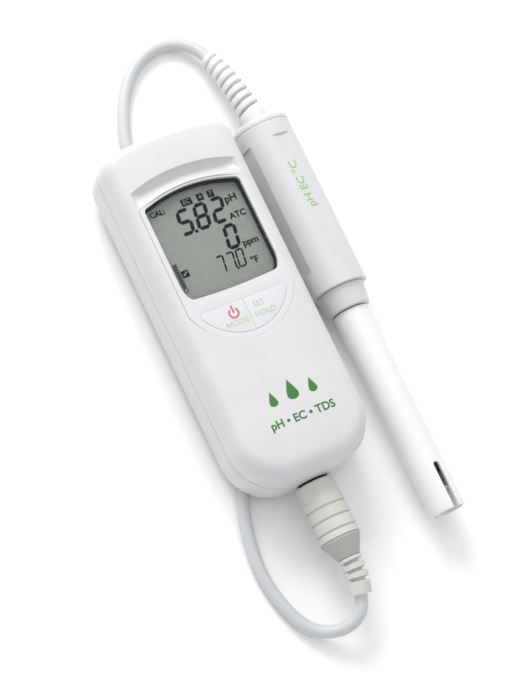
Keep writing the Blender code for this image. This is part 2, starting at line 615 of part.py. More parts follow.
def make_probe_sleeve(parent, mat):
    tube = [(SLEEVE_R - 0.2, SLEEVE_Y0), (SLEEVE_BORE, SLEEVE_Y0), (SLEEVE_BORE, SLEEVE_Y1),
            (SLEEVE_R - 0.3, SLEEVE_Y1), (SLEEVE_R, SLEEVE_Y1 + 0.3), (SLEEVE_R, SLEEVE_Y0 - 0.2)]
    sleeve = add_object("probe_sleeve", lathe_y(tube, PROBE_X, PROBE_Z, 40, True), parent, mat)
    half = SLOT_W / 2
    for number in range(SLOT_COUNT):
        slot = prism([(half, SLEEVE_Y1 - 3), (half, SLOT_Y0 - half)]
                     + arc(0, SLOT_Y0 - half, half, 30, 150, 4)
                     + [(-half, SLOT_Y0 - half), (-half, SLEEVE_Y1 - 3)], 3.0, 10.0)
        turn = Matrix.Rotation(radians(FLAT_TURN + 360 / SLOT_COUNT * number), 3, "Y")
        bmesh.ops.rotate(slot, verts=slot.verts, cent=(0, 0, 0), matrix=turn)
        bmesh.ops.translate(slot, verts=slot.verts, vec=(PROBE_X, 0, PROBE_Z))
        apply_tool(sleeve, slot)


# ---------------------------------------------------------------- cable
def make_cable(name, route, parent, mat):
    """Round cable as a bevelled poly line."""
    points = smooth_path(route, CABLE_D * CABLE_STEP)
    points.insert(1, points[0] + (Vector(route[1]) - points[0]).normalized() * CABLE_LEAD)
    points.insert(-1, points[-1] + (Vector(route[-2]) - points[-1]).normalized() * CABLE_LEAD)
    curve = bpy.data.curves.new(name, "CURVE")
    curve.dimensions = "3D"
    curve.bevel_depth = CABLE_D / 2 * MM
    curve.bevel_resolution = 2
    curve.use_fill_caps = True
    spline = curve.splines.new("POLY")
    spline.points.add(len(points) - 1)
    for target, point in zip(spline.points, points):
        target.co = (*((point - Vector(parent["origin"])) * MM), 1.0)
    curve.materials.append(mat)
    obj = bpy.data.objects.new(name, curve)
    bpy.context.scene.collection.objects.link(obj)
    obj.parent = parent


def make_materials():
    table = {
        "shell": ((0.80, 0.80, 0.83), 0.38, 0.0),
        "gloss": ((0.90, 0.90, 0.92), 0.12, 0.0),
        "key": ((0.85, 0.86, 0.86), 0.45, 0.0),
        "window": ((0.90, 0.93, 0.92), 0.03, 0.0),
        "lcd": ((0.36, 0.40, 0.34), 0.25, 0.0),
        "black": ((0.02, 0.02, 0.02), 0.5, 0.0),
        "rubber": ((0.05, 0.05, 0.05), 0.7, 0.0),
        "board": ((0.03, 0.22, 0.09), 0.4, 0.0),
        "steel": ((0.60, 0.60, 0.58), 0.3, 1.0),
        "brass": ((0.70, 0.55, 0.22), 0.3, 1.0),
        "battery": ((0.12, 0.16, 0.30), 0.35, 0.0),
        "plug": ((0.74, 0.73, 0.69), 0.5, 0.0),
        "cone": ((0.40, 0.40, 0.38), 0.5, 0.0),
        "sleeve": ((0.82, 0.82, 0.81), 0.35, 0.0),
        "stem": ((0.03, 0.03, 0.03), 0.4, 0.0),
        "glass": ((0.85, 0.90, 0.90), 0.05, 0.0),
        "ceramic": ((0.80, 0.76, 0.68), 0.8, 0.0),
        "cable": ((0.70, 0.73, 0.76), 0.45, 0.0),
    }
    return {name: make_material(name, *values) for name, values in table.items()}


def main():
    clear_scene()
    mats = make_materials()
    case = make_empty("case_frame", (0.0, 0.0, 0.0))
    mode_slide = make_empty("mode_button_slide", (-7.5, -7.0, 35.25), case)
    set_slide = make_empty("set_button_slide", (7.5, -7.0, 35.25), case)
    door_slide = make_empty("battery_door_slide", (0.0, DOOR_Y0, BACK_Z), case)
    plug_slide = make_empty("connector_slide", (PLUG_X, BARREL_Y0, PLUG_Z), case)
    probe = make_empty("probe_frame", (PROBE_X, 0.0, PROBE_Z), case)
    sleeve_slide = make_empty("sleeve_slide", (PROBE_X, SLEEVE_Y0, PROBE_Z), probe)

    make_back_shell(case, mats["shell"])
    make_front_shell(case, mats["shell"])
    make_case_gasket(case, mats["rubber"])
    make_case_screws(case, mats["steel"])
    make_display(case, mats)
    make_electronics(case, mats)
    make_key("mode_button", -1, mode_slide, mats["key"])
    make_key("set_button", 1, set_slide, mats["key"])
    make_batteries(case, mats)
    make_battery_door(door_slide, mats["shell"])
    make_socket(case, mats)
    make_plug(plug_slide, mats)
    make_probe_head(probe, mats)
    make_probe_tip(probe, mats)
    make_probe_sleeve(sleeve_slide, mats["sleeve"])
    make_cable("sensor_cable_upper", UPPER_CABLE_ROUTE, case, mats["cable"])
    make_cable("sensor_cable_lower", LOWER_CABLE_ROUTE, case, mats["cable"])


main()
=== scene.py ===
"""Looks of the handheld pH, EC and TDS meter and its cabled probe.

Everything is drawn in the case's frame, in millimetres (X across, Y towards the head, origin at
the case's centre on the supporting surface), and moved to the row frame when a piece is made.
"""
from math import asin, atan2, cos, degrees, pi, radians, sin, sqrt

import bmesh
import bpy
import numpy as np
from mathutils import Matrix, Vector
from mathutils.geometry import delaunay_2d_cdt


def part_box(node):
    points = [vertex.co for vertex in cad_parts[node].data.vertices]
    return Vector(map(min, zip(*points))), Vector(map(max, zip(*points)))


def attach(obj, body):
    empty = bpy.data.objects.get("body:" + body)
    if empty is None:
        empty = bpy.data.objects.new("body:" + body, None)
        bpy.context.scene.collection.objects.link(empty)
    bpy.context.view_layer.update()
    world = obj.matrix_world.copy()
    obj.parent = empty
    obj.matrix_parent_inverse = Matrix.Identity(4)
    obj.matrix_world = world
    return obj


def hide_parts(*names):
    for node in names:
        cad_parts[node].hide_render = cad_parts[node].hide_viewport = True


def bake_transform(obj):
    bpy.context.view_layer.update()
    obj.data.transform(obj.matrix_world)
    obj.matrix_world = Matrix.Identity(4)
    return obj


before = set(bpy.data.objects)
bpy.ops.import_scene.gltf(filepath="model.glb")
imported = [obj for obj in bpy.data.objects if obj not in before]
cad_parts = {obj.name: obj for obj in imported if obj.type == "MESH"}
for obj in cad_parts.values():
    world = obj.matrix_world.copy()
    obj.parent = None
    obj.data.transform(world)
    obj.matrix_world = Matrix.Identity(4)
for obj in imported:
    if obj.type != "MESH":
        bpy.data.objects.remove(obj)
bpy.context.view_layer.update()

MM = 0.001

FRONT_LOW, FRONT_HIGH = (Vector(corner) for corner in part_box("front_shell"))
ORIGIN = Vector(((FRONT_LOW.x + FRONT_HIGH.x) / 2, (FRONT_LOW.y + FRONT_HIGH.y) / 2, 0.0))


def span(node):
    """Lowest and highest corner of a CAD node in case millimetres."""
    low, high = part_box(node)
    return (Vector(low) - ORIGIN) / MM, (Vector(high) - ORIGIN) / MM


def axis_of(node):
    """Centre of a node that is turned about an axis along Y: (x, z)."""
    low, high = span(node)
    return (low.x + high.x) / 2, (low.z + high.z) / 2


def place(point):
    return ORIGIN + Vector(point) * MM


# ---------------------------------------------------------------- sizes
SHELL_LOW, SHELL_HIGH = span("front_shell")
HALF_W, HALF_L = SHELL_HIGH.x, SHELL_HIGH.y
SPLIT_Z, FRONT_Z = SHELL_LOW.z, SHELL_HIGH.z
BACK_LOW, BACK_HIGH = span("back_shell")
BACK_Z = BACK_LOW.z
HEAD_R, TAIL_R = 7.0, 19.0              # plan radii of the case's corners
HEAD_ARCH, TAIL_ARCH = 2.6, 1.0
ROLL_Z, ROLL_TOP_Z = 26.0, 34.6         # the front edge rolls over between these heights
ROLL_SIDE, ROLL_HEAD, ROLL_TAIL = 5.5, 4.0, 9.0
ROLL_END = radians(84)
INNER_ROLL = (3.5, 3.0, 6.0)            # the same roll inside the wall: side, head, tail
DRAFT = 0.25                            # the side leans in by this much below the roll
WALL, CEILING_Z = 2.2, 31.6

BEZEL_HALF_W = 23.0
BEZEL_R = 24.2
BEZEL_TOP_Z = span("display_bezel")[1].z
POCKET_GAP, POCKET_EASE = 0.03, 0.14    # seam round the bezel, and the eased edge of its pocket
SEAT_Z, SEAT_LIP = 33.05, 0.8           # ledge under the bezel, and how far it reaches in
CROWN_GRID = 1.1
KEY_CENTRE_Y, KEY_R, KEY_TOP_Y, KEY_SPLIT = 6.5, 21.2, -1.4, 0.03
KEY_TOP_Z = span("mode_button")[1].z
KEY_GAP = 0.03
WINDOW_HALF_W = 20.9
WINDOW_BOTTOM_Y, WINDOW_CORNER_Y, WINDOW_PEAK_Y = 4.2, 45.4, 49.3
BROW_HALF_W, BROW_Y, BROW_SIDE_Y = 23.0, 57.6, 53.6
SCOOP_DEPTH, SCOOP_DEEPEST = 3.4, 0.6
LCD_TOP_Z = span("lcd_panel")[1].z

PLUG_X, PLUG_Z = axis_of("connector_barrel")
BARREL_Y1, BARREL_Y0 = span("connector_barrel")[0].y, span("connector_barrel")[1].y
CONE_Y1, CONE_Y0 = span("connector_cone")[0].y, span("connector_cone")[1].y

PROBE_X, PROBE_Z = axis_of("probe_cap")
HOUSING_Y0, HOUSING_Y1 = span("probe_housing")[0].y, span("probe_housing")[1].y
HOUSING_R = (span("probe_cap")[1].x - span("probe_cap")[0].x) / 2
CAP_Y0, CAP_Y1 = span("probe_cap")[0].y, span("probe_cap")[1].y
COLLAR_Y1, COLLAR_Y0 = span("probe_collar")[0].y, span("probe_collar")[1].y
SLEEVE_Y1, SLEEVE_Y0 = span("probe_sleeve")[0].y, span("probe_sleeve")[1].y
SLEEVE_R, SLEEVE_BORE = 7.5, 6.25
SLOT_W, SLOT_Y0, SLOT_COUNT = 2.6, -86.8, 2
FLAT_HALF_W, FLAT_Y0, FLAT_Y1, FLAT_TURN = 4.2, 2.5, 60.0, 12.0

CABLE_D = 5.2
RING_COLLAR_R, RING_R, RING_TAPER, RING_GROOVE_R, RING_CROWN = 5.6, 5.3, 1.25, 3.0, 0.16
PROBE_RELIEF_PATH = [
    (47.6, 70.4, 12.0), (47.55, 72.6, 12.0), (47.1, 77.0, 11.8), (46.4, 82.0, 11.3), (45.7, 89.0, 10.5),
    (44.6, 96.0, 9.3), (43.3, 102.0, 8.0), (42.1, 106.0, 7.1),
]
PLUG_RELIEF_PATH = [
    (0.8, -108.1, 15.2), (0.8, -112.0, 15.1), (0.4, -117.0, 14.7), (-0.9, -122.4, 13.7),
]
UPPER_CABLE_ROUTE = [
    (42.0, 106.34, 7.02), (41.03, 109.56, 6.3), (38.7, 113.4, 5.0), (35.2, 116.4, 3.8),
    (31.0, 118.1, 3.0), (25.6, 118.6, 2.6), (18.5, 116.6, 2.6), (11.6, 112.3, 2.6),
    (6.2, 106.6, 2.6), (1.6, 99.5, 2.6), (-2.3, 90.8, 2.6), (-4.8, 82.2, 2.6),
    (-6.0, 71.0, 2.6), (-5.2, 60.0, 2.6), (-2.0, 48.0, 2.6), (3.0, 36.0, 2.6),
    (8.0, 24.0, 2.6), (12.2, 13.0, 2.6), (13.9, 4.2, 2.6), (14.0, 0.35, 2.6),
]
LOWER_CABLE_ROUTE = [
    (14.0, 0.0, 2.6), (13.9, -3.8, 2.6), (12.6, -13.0, 2.6), (9.0, -24.0, 2.6), (2.0, -36.0, 2.6),
    (-7.0, -47.0, 2.6), (-15.5, -56.5, 2.6), (-21.8, -65.5, 2.6), (-25.6, -73.0, 2.6),
    (-28.2, -82.1, 2.6), (-29.8, -91.8, 2.6), (-30.0, -101.1, 2.6), (-28.6, -110.1, 2.6),
    (-26.2, -118.0, 2.8), (-22.7, -124.9, 3.5), (-17.8, -129.3, 5.0), (-12.0, -131.4, 7.4),
    (-6.8, -130.8, 10.1), (-3.3, -128.2, 12.2), (-1.48, -124.8, 13.26), (-0.98, -122.73, 13.64),
]


# ---------------------------------------------------------------- materials
class Look:
    """A procedural material on the Principled shader; positions are in millimetres."""

    def __init__(self, name, roughness, metallic=0.0, coat=0.0, alpha=1.0, ior=1.5, specular=0.5):
        self.mat = bpy.data.materials.new(name)
        self.mat.use_nodes = True
        self.tree = self.mat.node_tree
        self.shader = self.tree.nodes["Principled BSDF"]
        for socket, value in (("Metallic", metallic), ("Coat Weight", coat), ("Coat Roughness", 0.08),
                              ("Alpha", alpha), ("IOR", ior), ("Specular IOR Level", specular)):
            self.shader.inputs[socket].default_value = value
        coords = self.node("ShaderNodeTexCoord").outputs["Object"]
        scale = self.node("ShaderNodeVectorMath", operation="SCALE")
        scale.inputs["Scale"].default_value = 1 / MM
        self.link(coords, scale.inputs[0])
        self.position = scale.outputs[0]
        self.height = None
        self.roughness = roughness

    def node(self, kind, **settings):
        made = self.tree.nodes.new(kind)
        for key, value in settings.items():
            setattr(made, key, value)
        return made

    def link(self, source, target):
        self.tree.links.new(source, target)

    def noise(self, size, detail=3.0, stretch=(1, 1, 1)):
        """Noise between 0 and 1 whose features are about `size` millimetres wide."""
        mapping = self.node("ShaderNodeMapping")
        mapping.inputs["Scale"].default_value = stretch
        self.link(self.position, mapping.inputs["Vector"])
        texture = self.node("ShaderNodeTexNoise")
        texture.inputs["Scale"].default_value = 1 / size
        texture.inputs["Detail"].default_value = detail
        self.link(mapping.outputs[0], texture.inputs["Vector"])
        return texture.outputs["Fac"]

    def ramp(self, factor, stops):
        """Colour ramp from (position, (r, g, b)) stops."""
        ramp = self.node("ShaderNodeValToRGB")
        elements = ramp.color_ramp.elements
        while len(elements) < len(stops):
            elements.new(0.5)
        for element, (position, colour) in zip(elements, stops):
            element.position = position
            element.color = (*colour, 1.0)
        self.link(factor, ramp.inputs["Fac"])
        return ramp.outputs["Color"]

    def spread(self, factor, low, high):
        """The factor's middle range mapped to low...high."""
        span_node = self.node("ShaderNodeMapRange")
        for socket, value in (("From Min", 0.3), ("From Max", 0.7), ("To Min", low), ("To Max", high)):
            span_node.inputs[socket].default_value = value
        self.link(factor, span_node.inputs["Value"])
        return span_node.outputs["Result"]

    def colour(self, base, variation=0.03, size=12.0):
        """Soft variation of the base colour."""
        low = tuple(c * (1 - variation) for c in base)
        high = tuple(min(1.0, c * (1 + variation)) for c in base)
        self.link(self.ramp(self.noise(size), [(0.3, low), (0.7, high)]),
                  self.shader.inputs["Base Color"])
        return self

    def rough(self, variation=0.06, size=3.0):
        self.link(self.spread(self.noise(size), self.roughness - variation, self.roughness + variation),
                  self.shader.inputs["Roughness"])
        return self

    def grain(self, size=0.35, depth=0.01, detail=2.0, stretch=(1, 1, 1)):
        """Bump of the given depth in millimetres."""
        bump = self.node("ShaderNodeBump")
        bump.inputs["Distance"].default_value = depth * MM
        bump.inputs["Strength"].default_value = 1.0
        self.link(self.noise(size, detail, stretch), bump.inputs["Height"])
        if self.height:
            self.link(self.height, bump.inputs["Normal"])
        self.height = bump.outputs["Normal"]
        self.link(self.height, self.shader.inputs["Normal"])
        return self


def moulded(name, colour, roughness, grain=0.35, depth=0.006, coat=0.0, variation=0.02, specular=0.5):
    """Injection-moulded plastic: faint flow variation and a fine spark-eroded grain."""
    look = Look(name, roughness, coat=coat, specular=specular)
    look.colour(colour, variation, 18.0).rough(0.05, 2.5)
    look.grain(grain, depth).grain(9.0, depth * 2)
    return look.mat


def make_materials():
    mats = {
        "shell": moulded("shell_white", (0.615, 0.612, 0.622), 0.34, 0.30, 0.004),
        "gloss": moulded("bezel_white", (0.625, 0.622, 0.634), 0.2, 1.2, 0.002, coat=0.12, variation=0.01),
        "key": moulded("key_grey_white", (0.625, 0.635, 0.645), 0.42, 0.25, 0.006),
        "plug": moulded("plug_warm_white", (0.585, 0.566, 0.528), 0.48, 0.3, 0.008),
        "cone": moulded("cone_grey", (0.405, 0.40, 0.375), 0.5, 0.3, 0.008),
        "relief": moulded("relief_white", (0.70, 0.695, 0.685), 0.45, 0.3, 0.006),
        "sleeve": moulded("sleeve_white", (0.78, 0.775, 0.755), 0.33, 0.4, 0.004),
        "cable": moulded("cable_grey_white", (0.54, 0.552, 0.558), 0.42, 0.5, 0.006),
        "black": moulded("black_plastic", (0.008, 0.009, 0.009), 0.5, 0.3, 0.008, variation=0.2,
                         specular=0.12),
        "stem": moulded("stem_black", (0.02, 0.02, 0.018), 0.42, 0.4, 0.006, variation=0.2),
        "rubber": moulded("seal_rubber", (0.035, 0.035, 0.037), 0.72, 0.2, 0.012, variation=0.15),
        "print_green": moulded("green_ink", (0.034, 0.172, 0.026), 0.5, 0.15, 0.003, variation=0.08),
        "print_leaf": moulded("leaf_green_ink", (0.24, 0.49, 0.10), 0.5, 0.15, 0.003, variation=0.06),
        "legend_green": moulded("pale_green_ink", (0.42, 0.535, 0.33), 0.5, 0.15, 0.003, variation=0.05),
        "legend_red": moulded("red_ink", (0.52, 0.145, 0.17), 0.5, 0.15, 0.003, variation=0.06),
        "segment": moulded("lcd_segment", (0.004, 0.005, 0.004), 0.7, 0.1, 0.002, variation=0.25,
                           specular=0.0),
    }
    lcd = Look("lcd_cell", 0.28)
    lcd.colour((0.275, 0.305, 0.265), 0.03, 16.0).rough(0.04, 4.0).grain(0.12, 0.003)
    mats["lcd"] = lcd.mat

    window = Look("clear_window", 0.04, alpha=0.07, specular=0.5)
    window.colour((0.10, 0.12, 0.12), 0.05, 10.0).rough(0.02, 6.0).grain(14.0, 0.004)
    mats["window"] = window.mat

    glass = Look("bulb_glass", 0.05, coat=0.4)
    glass.colour((0.42, 0.47, 0.47), 0.06, 1.5).rough(0.02, 2.0).grain(1.2, 0.01)
    mats["glass"] = glass.mat

    ceramic = Look("porous_ceramic", 0.8)
    ceramic.colour((0.74, 0.70, 0.61), 0.08, 0.5).rough(0.08, 0.6).grain(0.12, 0.03)
    mats["ceramic"] = ceramic.mat

    board = Look("solder_mask", 0.32, coat=0.3)
    board.colour((0.02, 0.18, 0.07), 0.25, 2.0).rough(0.08, 1.0).grain(0.9, 0.02)
    mats["board"] = board.mat

    steel = Look("stainless_steel", 0.30, metallic=1.0)
    steel.colour((0.60, 0.60, 0.58), 0.06, 0.8).rough(0.08, 0.5).grain(0.12, 0.004, stretch=(8, 1, 1))
    mats["steel"] = steel.mat

    brass = Look("plated_brass", 0.26, metallic=1.0)
    brass.colour((0.75, 0.56, 0.22), 0.08, 0.8).rough(0.06, 0.5).grain(0.15, 0.004)
    mats["brass"] = brass.mat

    cell = Look("battery_jacket", 0.35, coat=0.4)
    wave = cell.node("ShaderNodeTexWave", wave_type="BANDS", bands_direction="Y")
    wave.inputs["Scale"].default_value = 0.02
    cell.link(cell.position, wave.inputs["Vector"])
    cell.link(cell.ramp(wave.outputs["Fac"], [(0.45, (0.03, 0.05, 0.14)), (0.55, (0.45, 0.45, 0.46))]),
              cell.shader.inputs["Base Color"])
    cell.rough(0.06, 1.5).grain(2.0, 0.01)
    mats["battery"] = cell.mat
    return mats


MATS = make_materials()


# ---------------------------------------------------------------- pieces
def new_piece(name, verts, faces, finish, body, node=(), sharp=32.0):
    """Mesh object from case millimetres that rides on a body and may stand for CAD nodes."""
    mesh = bpy.data.meshes.new(name)
    mesh.from_pydata([place(v) for v in verts], [], faces)
    mesh.validate()
    mesh.materials.append(MATS[finish])
    obj = bpy.data.objects.new(name, mesh)
    bpy.context.scene.collection.objects.link(obj)
    smooth(mesh, sharp)
    settle(obj, body, node)
    return obj


def smooth(mesh, sharp):
    mesh.shade_smooth()
    mesh.set_sharp_from_angle(angle=radians(sharp))


def settle(obj, body, node=()):
    if body:
        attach(obj, body)
    if node:
        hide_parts(*([node] if isinstance(node, str) else node))


def arc(cx, cy, radius, start, end, steps):
    """Points on a circle from start to end, in degrees."""
    turns = [radians(start + (end - start) * i / steps) for i in range(steps + 1)]
    return [(cx + radius * cos(t), cy + radius * sin(t)) for t in turns]


def line(a, b, steps):
    """Points from a towards b, without b."""
    return [(a[0] + (b[0] - a[0]) * i / steps, a[1] + (b[1] - a[1]) * i / steps) for i in range(steps)]


def fillet(points, radius, steps=4):
    """Open profile whose inner corners are eased."""
    pts = [Vector(p) for p in points]
    out = [pts[0]]
    for before, corner, after in zip(pts, pts[1:], pts[2:]):
        reach_in = min(radius, 0.45 * (corner - before).length)
        reach_out = min(radius, 0.45 * (after - corner).length)
        a = corner + (before - corner).normalized() * reach_in
        b = corner + (after - corner).normalized() * reach_out
        for i in range(steps + 1):
            t = i / steps
            out.append(a * (1 - t) ** 2 + corner * 2 * t * (1 - t) + b * t * t)
    return out + [pts[-1]]


class Skin:
    """Vertices and faces gathered ring by ring."""

    def __init__(self):
        self.verts, self.faces = [], []

    def ring(self, points):
        start = len(self.verts)
        self.verts += [tuple(p) for p in points]
        return list(range(start, start + len(points)))

    def bridge(self, lower, upper):
        count = len(lower)
        for i in range(count):
            j = (i + 1) % count
            self.faces.append((lower[i], lower[j], upper[j], upper[i]))

    def stack(self, rings):
        """Bridges a list of point rings and returns the first and last index rings."""
        rows = [self.ring(points) for points in rings]
        for lower, upper in zip(rows, rows[1:]):
            self.bridge(lower, upper)
        return rows[0], rows[-1]

    def cap(self, ring, flip=False):
        self.faces.append(tuple(ring[::-1] if flip else ring))


def inside(points, loop):
    """Mask of the points inside a closed outline."""
    x, y = points[:, 0], points[:, 1]
    mask = np.zeros(len(points), bool)
    for (x0, y0), (x1, y1) in zip(loop, loop[1:] + loop[:1]):
        if y0 == y1:
            continue
        crosses = (y0 > y) != (y1 > y)
        mask ^= crosses & (x < (x1 - x0) * (y - y0) / (y1 - y0) + x0)
    return mask


def triangulate(outer, holes=(), rows=(), loose=()):
    """Triangles of the area between an outline and its holes.

    rows are open polylines to keep as edges and loose are further points.  The outline and the
    holes come first in the result, in their own order.
    """
    loops = [list(outer)] + [list(h) for h in holes]
    points, edges = [], []
    for loop in loops:
        start = len(points)
        points += loop
        edges += [(start + i, start + (i + 1) % len(loop)) for i in range(len(loop))]
    for row in rows:
        start = len(points)
        points += list(row)
        edges += [(start + i, start + i + 1) for i in range(len(row) - 1)]
    points += list(loose)
    result = delaunay_2d_cdt([Vector(p) for p in points], edges, [], 0, 1e-6)
    flat = np.array([tuple(v) for v in result[0]])
    faces = [tuple(f) for f in result[2]]
    middles = np.array([flat[list(f)].mean(axis=0) for f in faces])
    keep = inside(middles, loops[0])
    for hole in loops[1:]:
        keep &= ~inside(middles, hole)
    return flat, [f for f, k in zip(faces, keep) if k], result[3]


def plate(name, outline, holes, z0, top, finish, body, node=(), edge=0.2, spacing=None):
    """Flat or crowned plate with eased top edges.  outline(grow) and each hole(grow) give a loop;
    top is a height or a function of an (n, 2) array of points."""
    skin = Skin()
    height = top if callable(top) else (lambda pts: np.full(len(pts), float(top)))

    def lifted(loop, drop):
        return [(x, y, z - drop) for (x, y), z in zip(loop, height(np.array(loop)))]

    ease = [(edge * (1 - sin(t)), edge * (1 - cos(t))) for t in (0, pi / 8, pi / 4, 3 * pi / 8, pi / 2)]
    borders = [(outline, -1)] + [(h, 1) for h in holes]
    top_loops, bottom_loops = [], []
    for loop_at, side in borders:
        rings = [[(x, y, z0) for x, y in loop_at(0.0)]]
        rings += [lifted(loop_at(side * back), drop) for drop, back in ease]
        bottom, upper = skin.stack(rings)
        top_loops.append((loop_at(side * edge), upper))
        bottom_loops.append((loop_at(0.0), bottom))
    for loops, level in ((top_loops, "top"), (bottom_loops, "bottom")):
        outer = loops[0][0]
        loose = []
        if spacing and level == "top":
            loose = grid_inside(outer, [loop for loop, _ in loops[1:]], spacing)
        flat, faces, origin = triangulate(outer, [loop for loop, _ in loops[1:]], loose=loose)
        known = [i for _, ring in loops for i in ring]
        index = {}
        zs = height(flat) if level == "top" else np.full(len(flat), z0)
        for i, sources in enumerate(origin):
            first = [s for s in sources if s < len(known)]
            if first:
                index[i] = known[first[0]]
            else:
                index[i] = len(skin.verts)
                skin.verts.append((*flat[i], zs[i]))
        for face in faces:
            made = tuple(index[i] for i in face)
            skin.faces.append(made if level == "top" else made[::-1])
    return finish_skin(name, skin, finish, body, node)


def finish_skin(name, skin, finish, body, node=(), sharp=32.0):
    """Piece from a closed skin, with its faces turned outwards."""
    obj = new_piece(name, skin.verts, skin.faces, finish, body, node, sharp)
    turn_out(obj)
    smooth(obj.data, sharp)
    return obj


def turn_out(obj):
    bm = bmesh.new()
    bm.from_mesh(obj.data)
    bmesh.ops.recalc_face_normals(bm, faces=bm.faces)
    bm.to_mesh(obj.data)
    bm.free()


def grid_inside(outer, holes, spacing, clear=None):
    """Grid points inside an outline, clear of its border, its holes and other points."""
    border = np.array(outer + [p for hole in holes for p in hole] + list(clear or []))
    low, high = border.min(axis=0), border.max(axis=0)
    xs = np.arange(low[0] + spacing / 2, high[0], spacing)
    ys = np.arange(low[1] + spacing / 2, high[1], spacing)
    points = np.array([(x, y) for y in ys for x in xs])
    keep = inside(points, outer)
    for hole in holes:
        keep &= ~inside(points, hole)
    points = points[keep]
    near = np.array([np.min(np.hypot(*(border - p).T)) for p in points])
    return [tuple(p) for p in points[near > 0.45 * spacing]]


def lathe(name, profile, x, z, finish, body, node=(), sides=96, closed=False, sharp=32.0):
    """Piece turned about an axis along Y from (radius, y) points."""
    skin = Skin()
    turns = [2 * pi * i / sides for i in range(sides)]
    rings = [[(x + r * sin(t), y, z + r * cos(t)) for t in turns] for r, y in profile]
    first, last = skin.stack(rings)
    if closed:
        skin.bridge(last, first)
    else:
        skin.cap(first, True)
        skin.cap(last)
    return finish_skin(name, skin, finish, body, node, sharp)


def smooth_path(points, step):
    """Evenly spaced points on the Catmull-Rom curve through the given points."""
    pts = [Vector(p) for p in points]
    pts = [2 * pts[0] - pts[1]] + pts + [2 * pts[-1] - pts[-2]]
    fine = []
    for p0, p1, p2, p3 in zip(pts, pts[1:], pts[2:], pts[3:]):
        for k in range(24):
            t = k / 24
            fine.append(0.5 * (2 * p1 + (p2 - p0) * t + (2 * p0 - 5 * p1 + 4 * p2 - p3) * t * t
                               + (3 * p1 - p0 - 3 * p2 + p3) * t ** 3))
    fine.append(pts[-2])
    total = sum((b - a).length for a, b in zip(fine, fine[1:]))
    count = max(2, round(total / step))
    out, run, target = [fine[0]], 0.0, total / count
    for a, b in zip(fine, fine[1:]):
        length = (b - a).length
        while length > 0 and run + length >= target - 1e-9 and len(out) < count:
            out.append(a.lerp(b, (target - run) / length))
            target += total / count
        run += length
    return out + [fine[-1]]


def sweep(path, radii, sides, lean=0.0):
    """Closed skin with a round section along a path; lean tilts the sections."""
    skin = Skin()
    rings = []
    side = Vector((0, 0, 1))
    for i, point in enumerate(path):
        ahead = (path[min(i + 1, len(path) - 1)] - path[max(i - 1, 0)]).normalized()
        side = (side - ahead * side.dot(ahead)).normalized()
        across = ahead.cross(side)
        ring = []
        for k in range(sides):
            t = 2 * pi * k / sides
            out = radii[i] * (cos(t) * side + sin(t) * across)
            ring.append(point + out + ahead * lean * radii[i] * sin(t))
        rings.append(ring)
    first, last = skin.stack(rings)
    skin.cap(first, True)
    skin.cap(last)
    return skin


# ---------------------------------------------------------------- camera, light and floor
def make_camera():
    azimuth, elevation, roll = radians(-58.76), radians(66.68), radians(35.23)
    distance, focal_px, sensor, photo_height = 1000.0, 2536.8, 36.0, 688
    target = Vector((4.9, -16.01, 15.0))
    back = Vector((sin(azimuth) * cos(elevation), -cos(azimuth) * cos(elevation), sin(elevation)))
    right = (-back).cross(Vector((0, 0, 1))).normalized()
    up = right.cross(-back)
    rolled_right = right * cos(roll) + up * sin(roll)
    rolled_up = up * cos(roll) - right * sin(roll)
    data = bpy.data.cameras.new("photo_camera")
    data.lens = focal_px * sensor / photo_height
    data.sensor_width = sensor
    camera = bpy.data.objects.new("photo_camera", data)
    turn = Matrix((rolled_right, rolled_up, back)).transposed().to_4x4()
    camera.matrix_world = Matrix.Translation(place(target + back * distance)) @ turn
    bpy.context.scene.collection.objects.link(camera)
    bpy.context.scene.camera = camera


def make_light(name, position, target, size, power):
    data = bpy.data.lights.new(name, "AREA")
    data.shape = "RECTANGLE"
    data.size, data.size_y = size
    data.energy = power
    light = bpy.data.objects.new(name, data)
    light.location = position
    light.rotation_euler = (Vector(target) - Vector(position)).to_track_quat("-Z", "Y").to_euler()
    bpy.context.scene.collection.objects.link(light)


def make_stage():
    scene = bpy.context.scene
    scene.view_settings.view_transform = "Standard"
    world = bpy.data.worlds.new("studio")
    world.use_nodes = True
    world.node_tree.nodes["Background"].inputs["Color"].default_value = (0.97, 0.98, 1.0, 1.0)
    world.node_tree.nodes["Background"].inputs["Strength"].default_value = 0.80
    scene.world = world
    make_light("key_softbox", (-0.1, 1.3, 0.95), (0.0, 0.0, 0.0), (0.8, 0.8), 19.0)
    make_light("top_softbox", (0.1, 0.2, 1.5), (0.0, 0.0, 0.0), (1.2, 1.2), 3.0)
    mesh = bpy.data.meshes.new("floor")
    reach = 3.0
    mesh.from_pydata([(-reach, -reach, 0), (reach, -reach, 0), (reach, reach, 0), (-reach, reach, 0)], [],
                     [(0, 1, 2, 3)])
    floor = bpy.data.objects.new("floor", mesh)
    scene.collection.objects.link(floor)
    look = Look("floor_white", 0.75, specular=0.1)
    look.colour((0.93, 0.93, 0.93), 0.004, 60.0).rough(0.05, 20.0).grain(5.0, 0.002)
    mesh.materials.append(look.mat)


make_camera()
make_stage()


# ---------------------------------------------------------------- cable
def make_cable(name, route, node):
    path = smooth_path(route, 1.3)
    skin = sweep(path, [CABLE_D / 2] * len(path), 32)
    return finish_skin(name, skin, "cable", None, node, 60.0), path


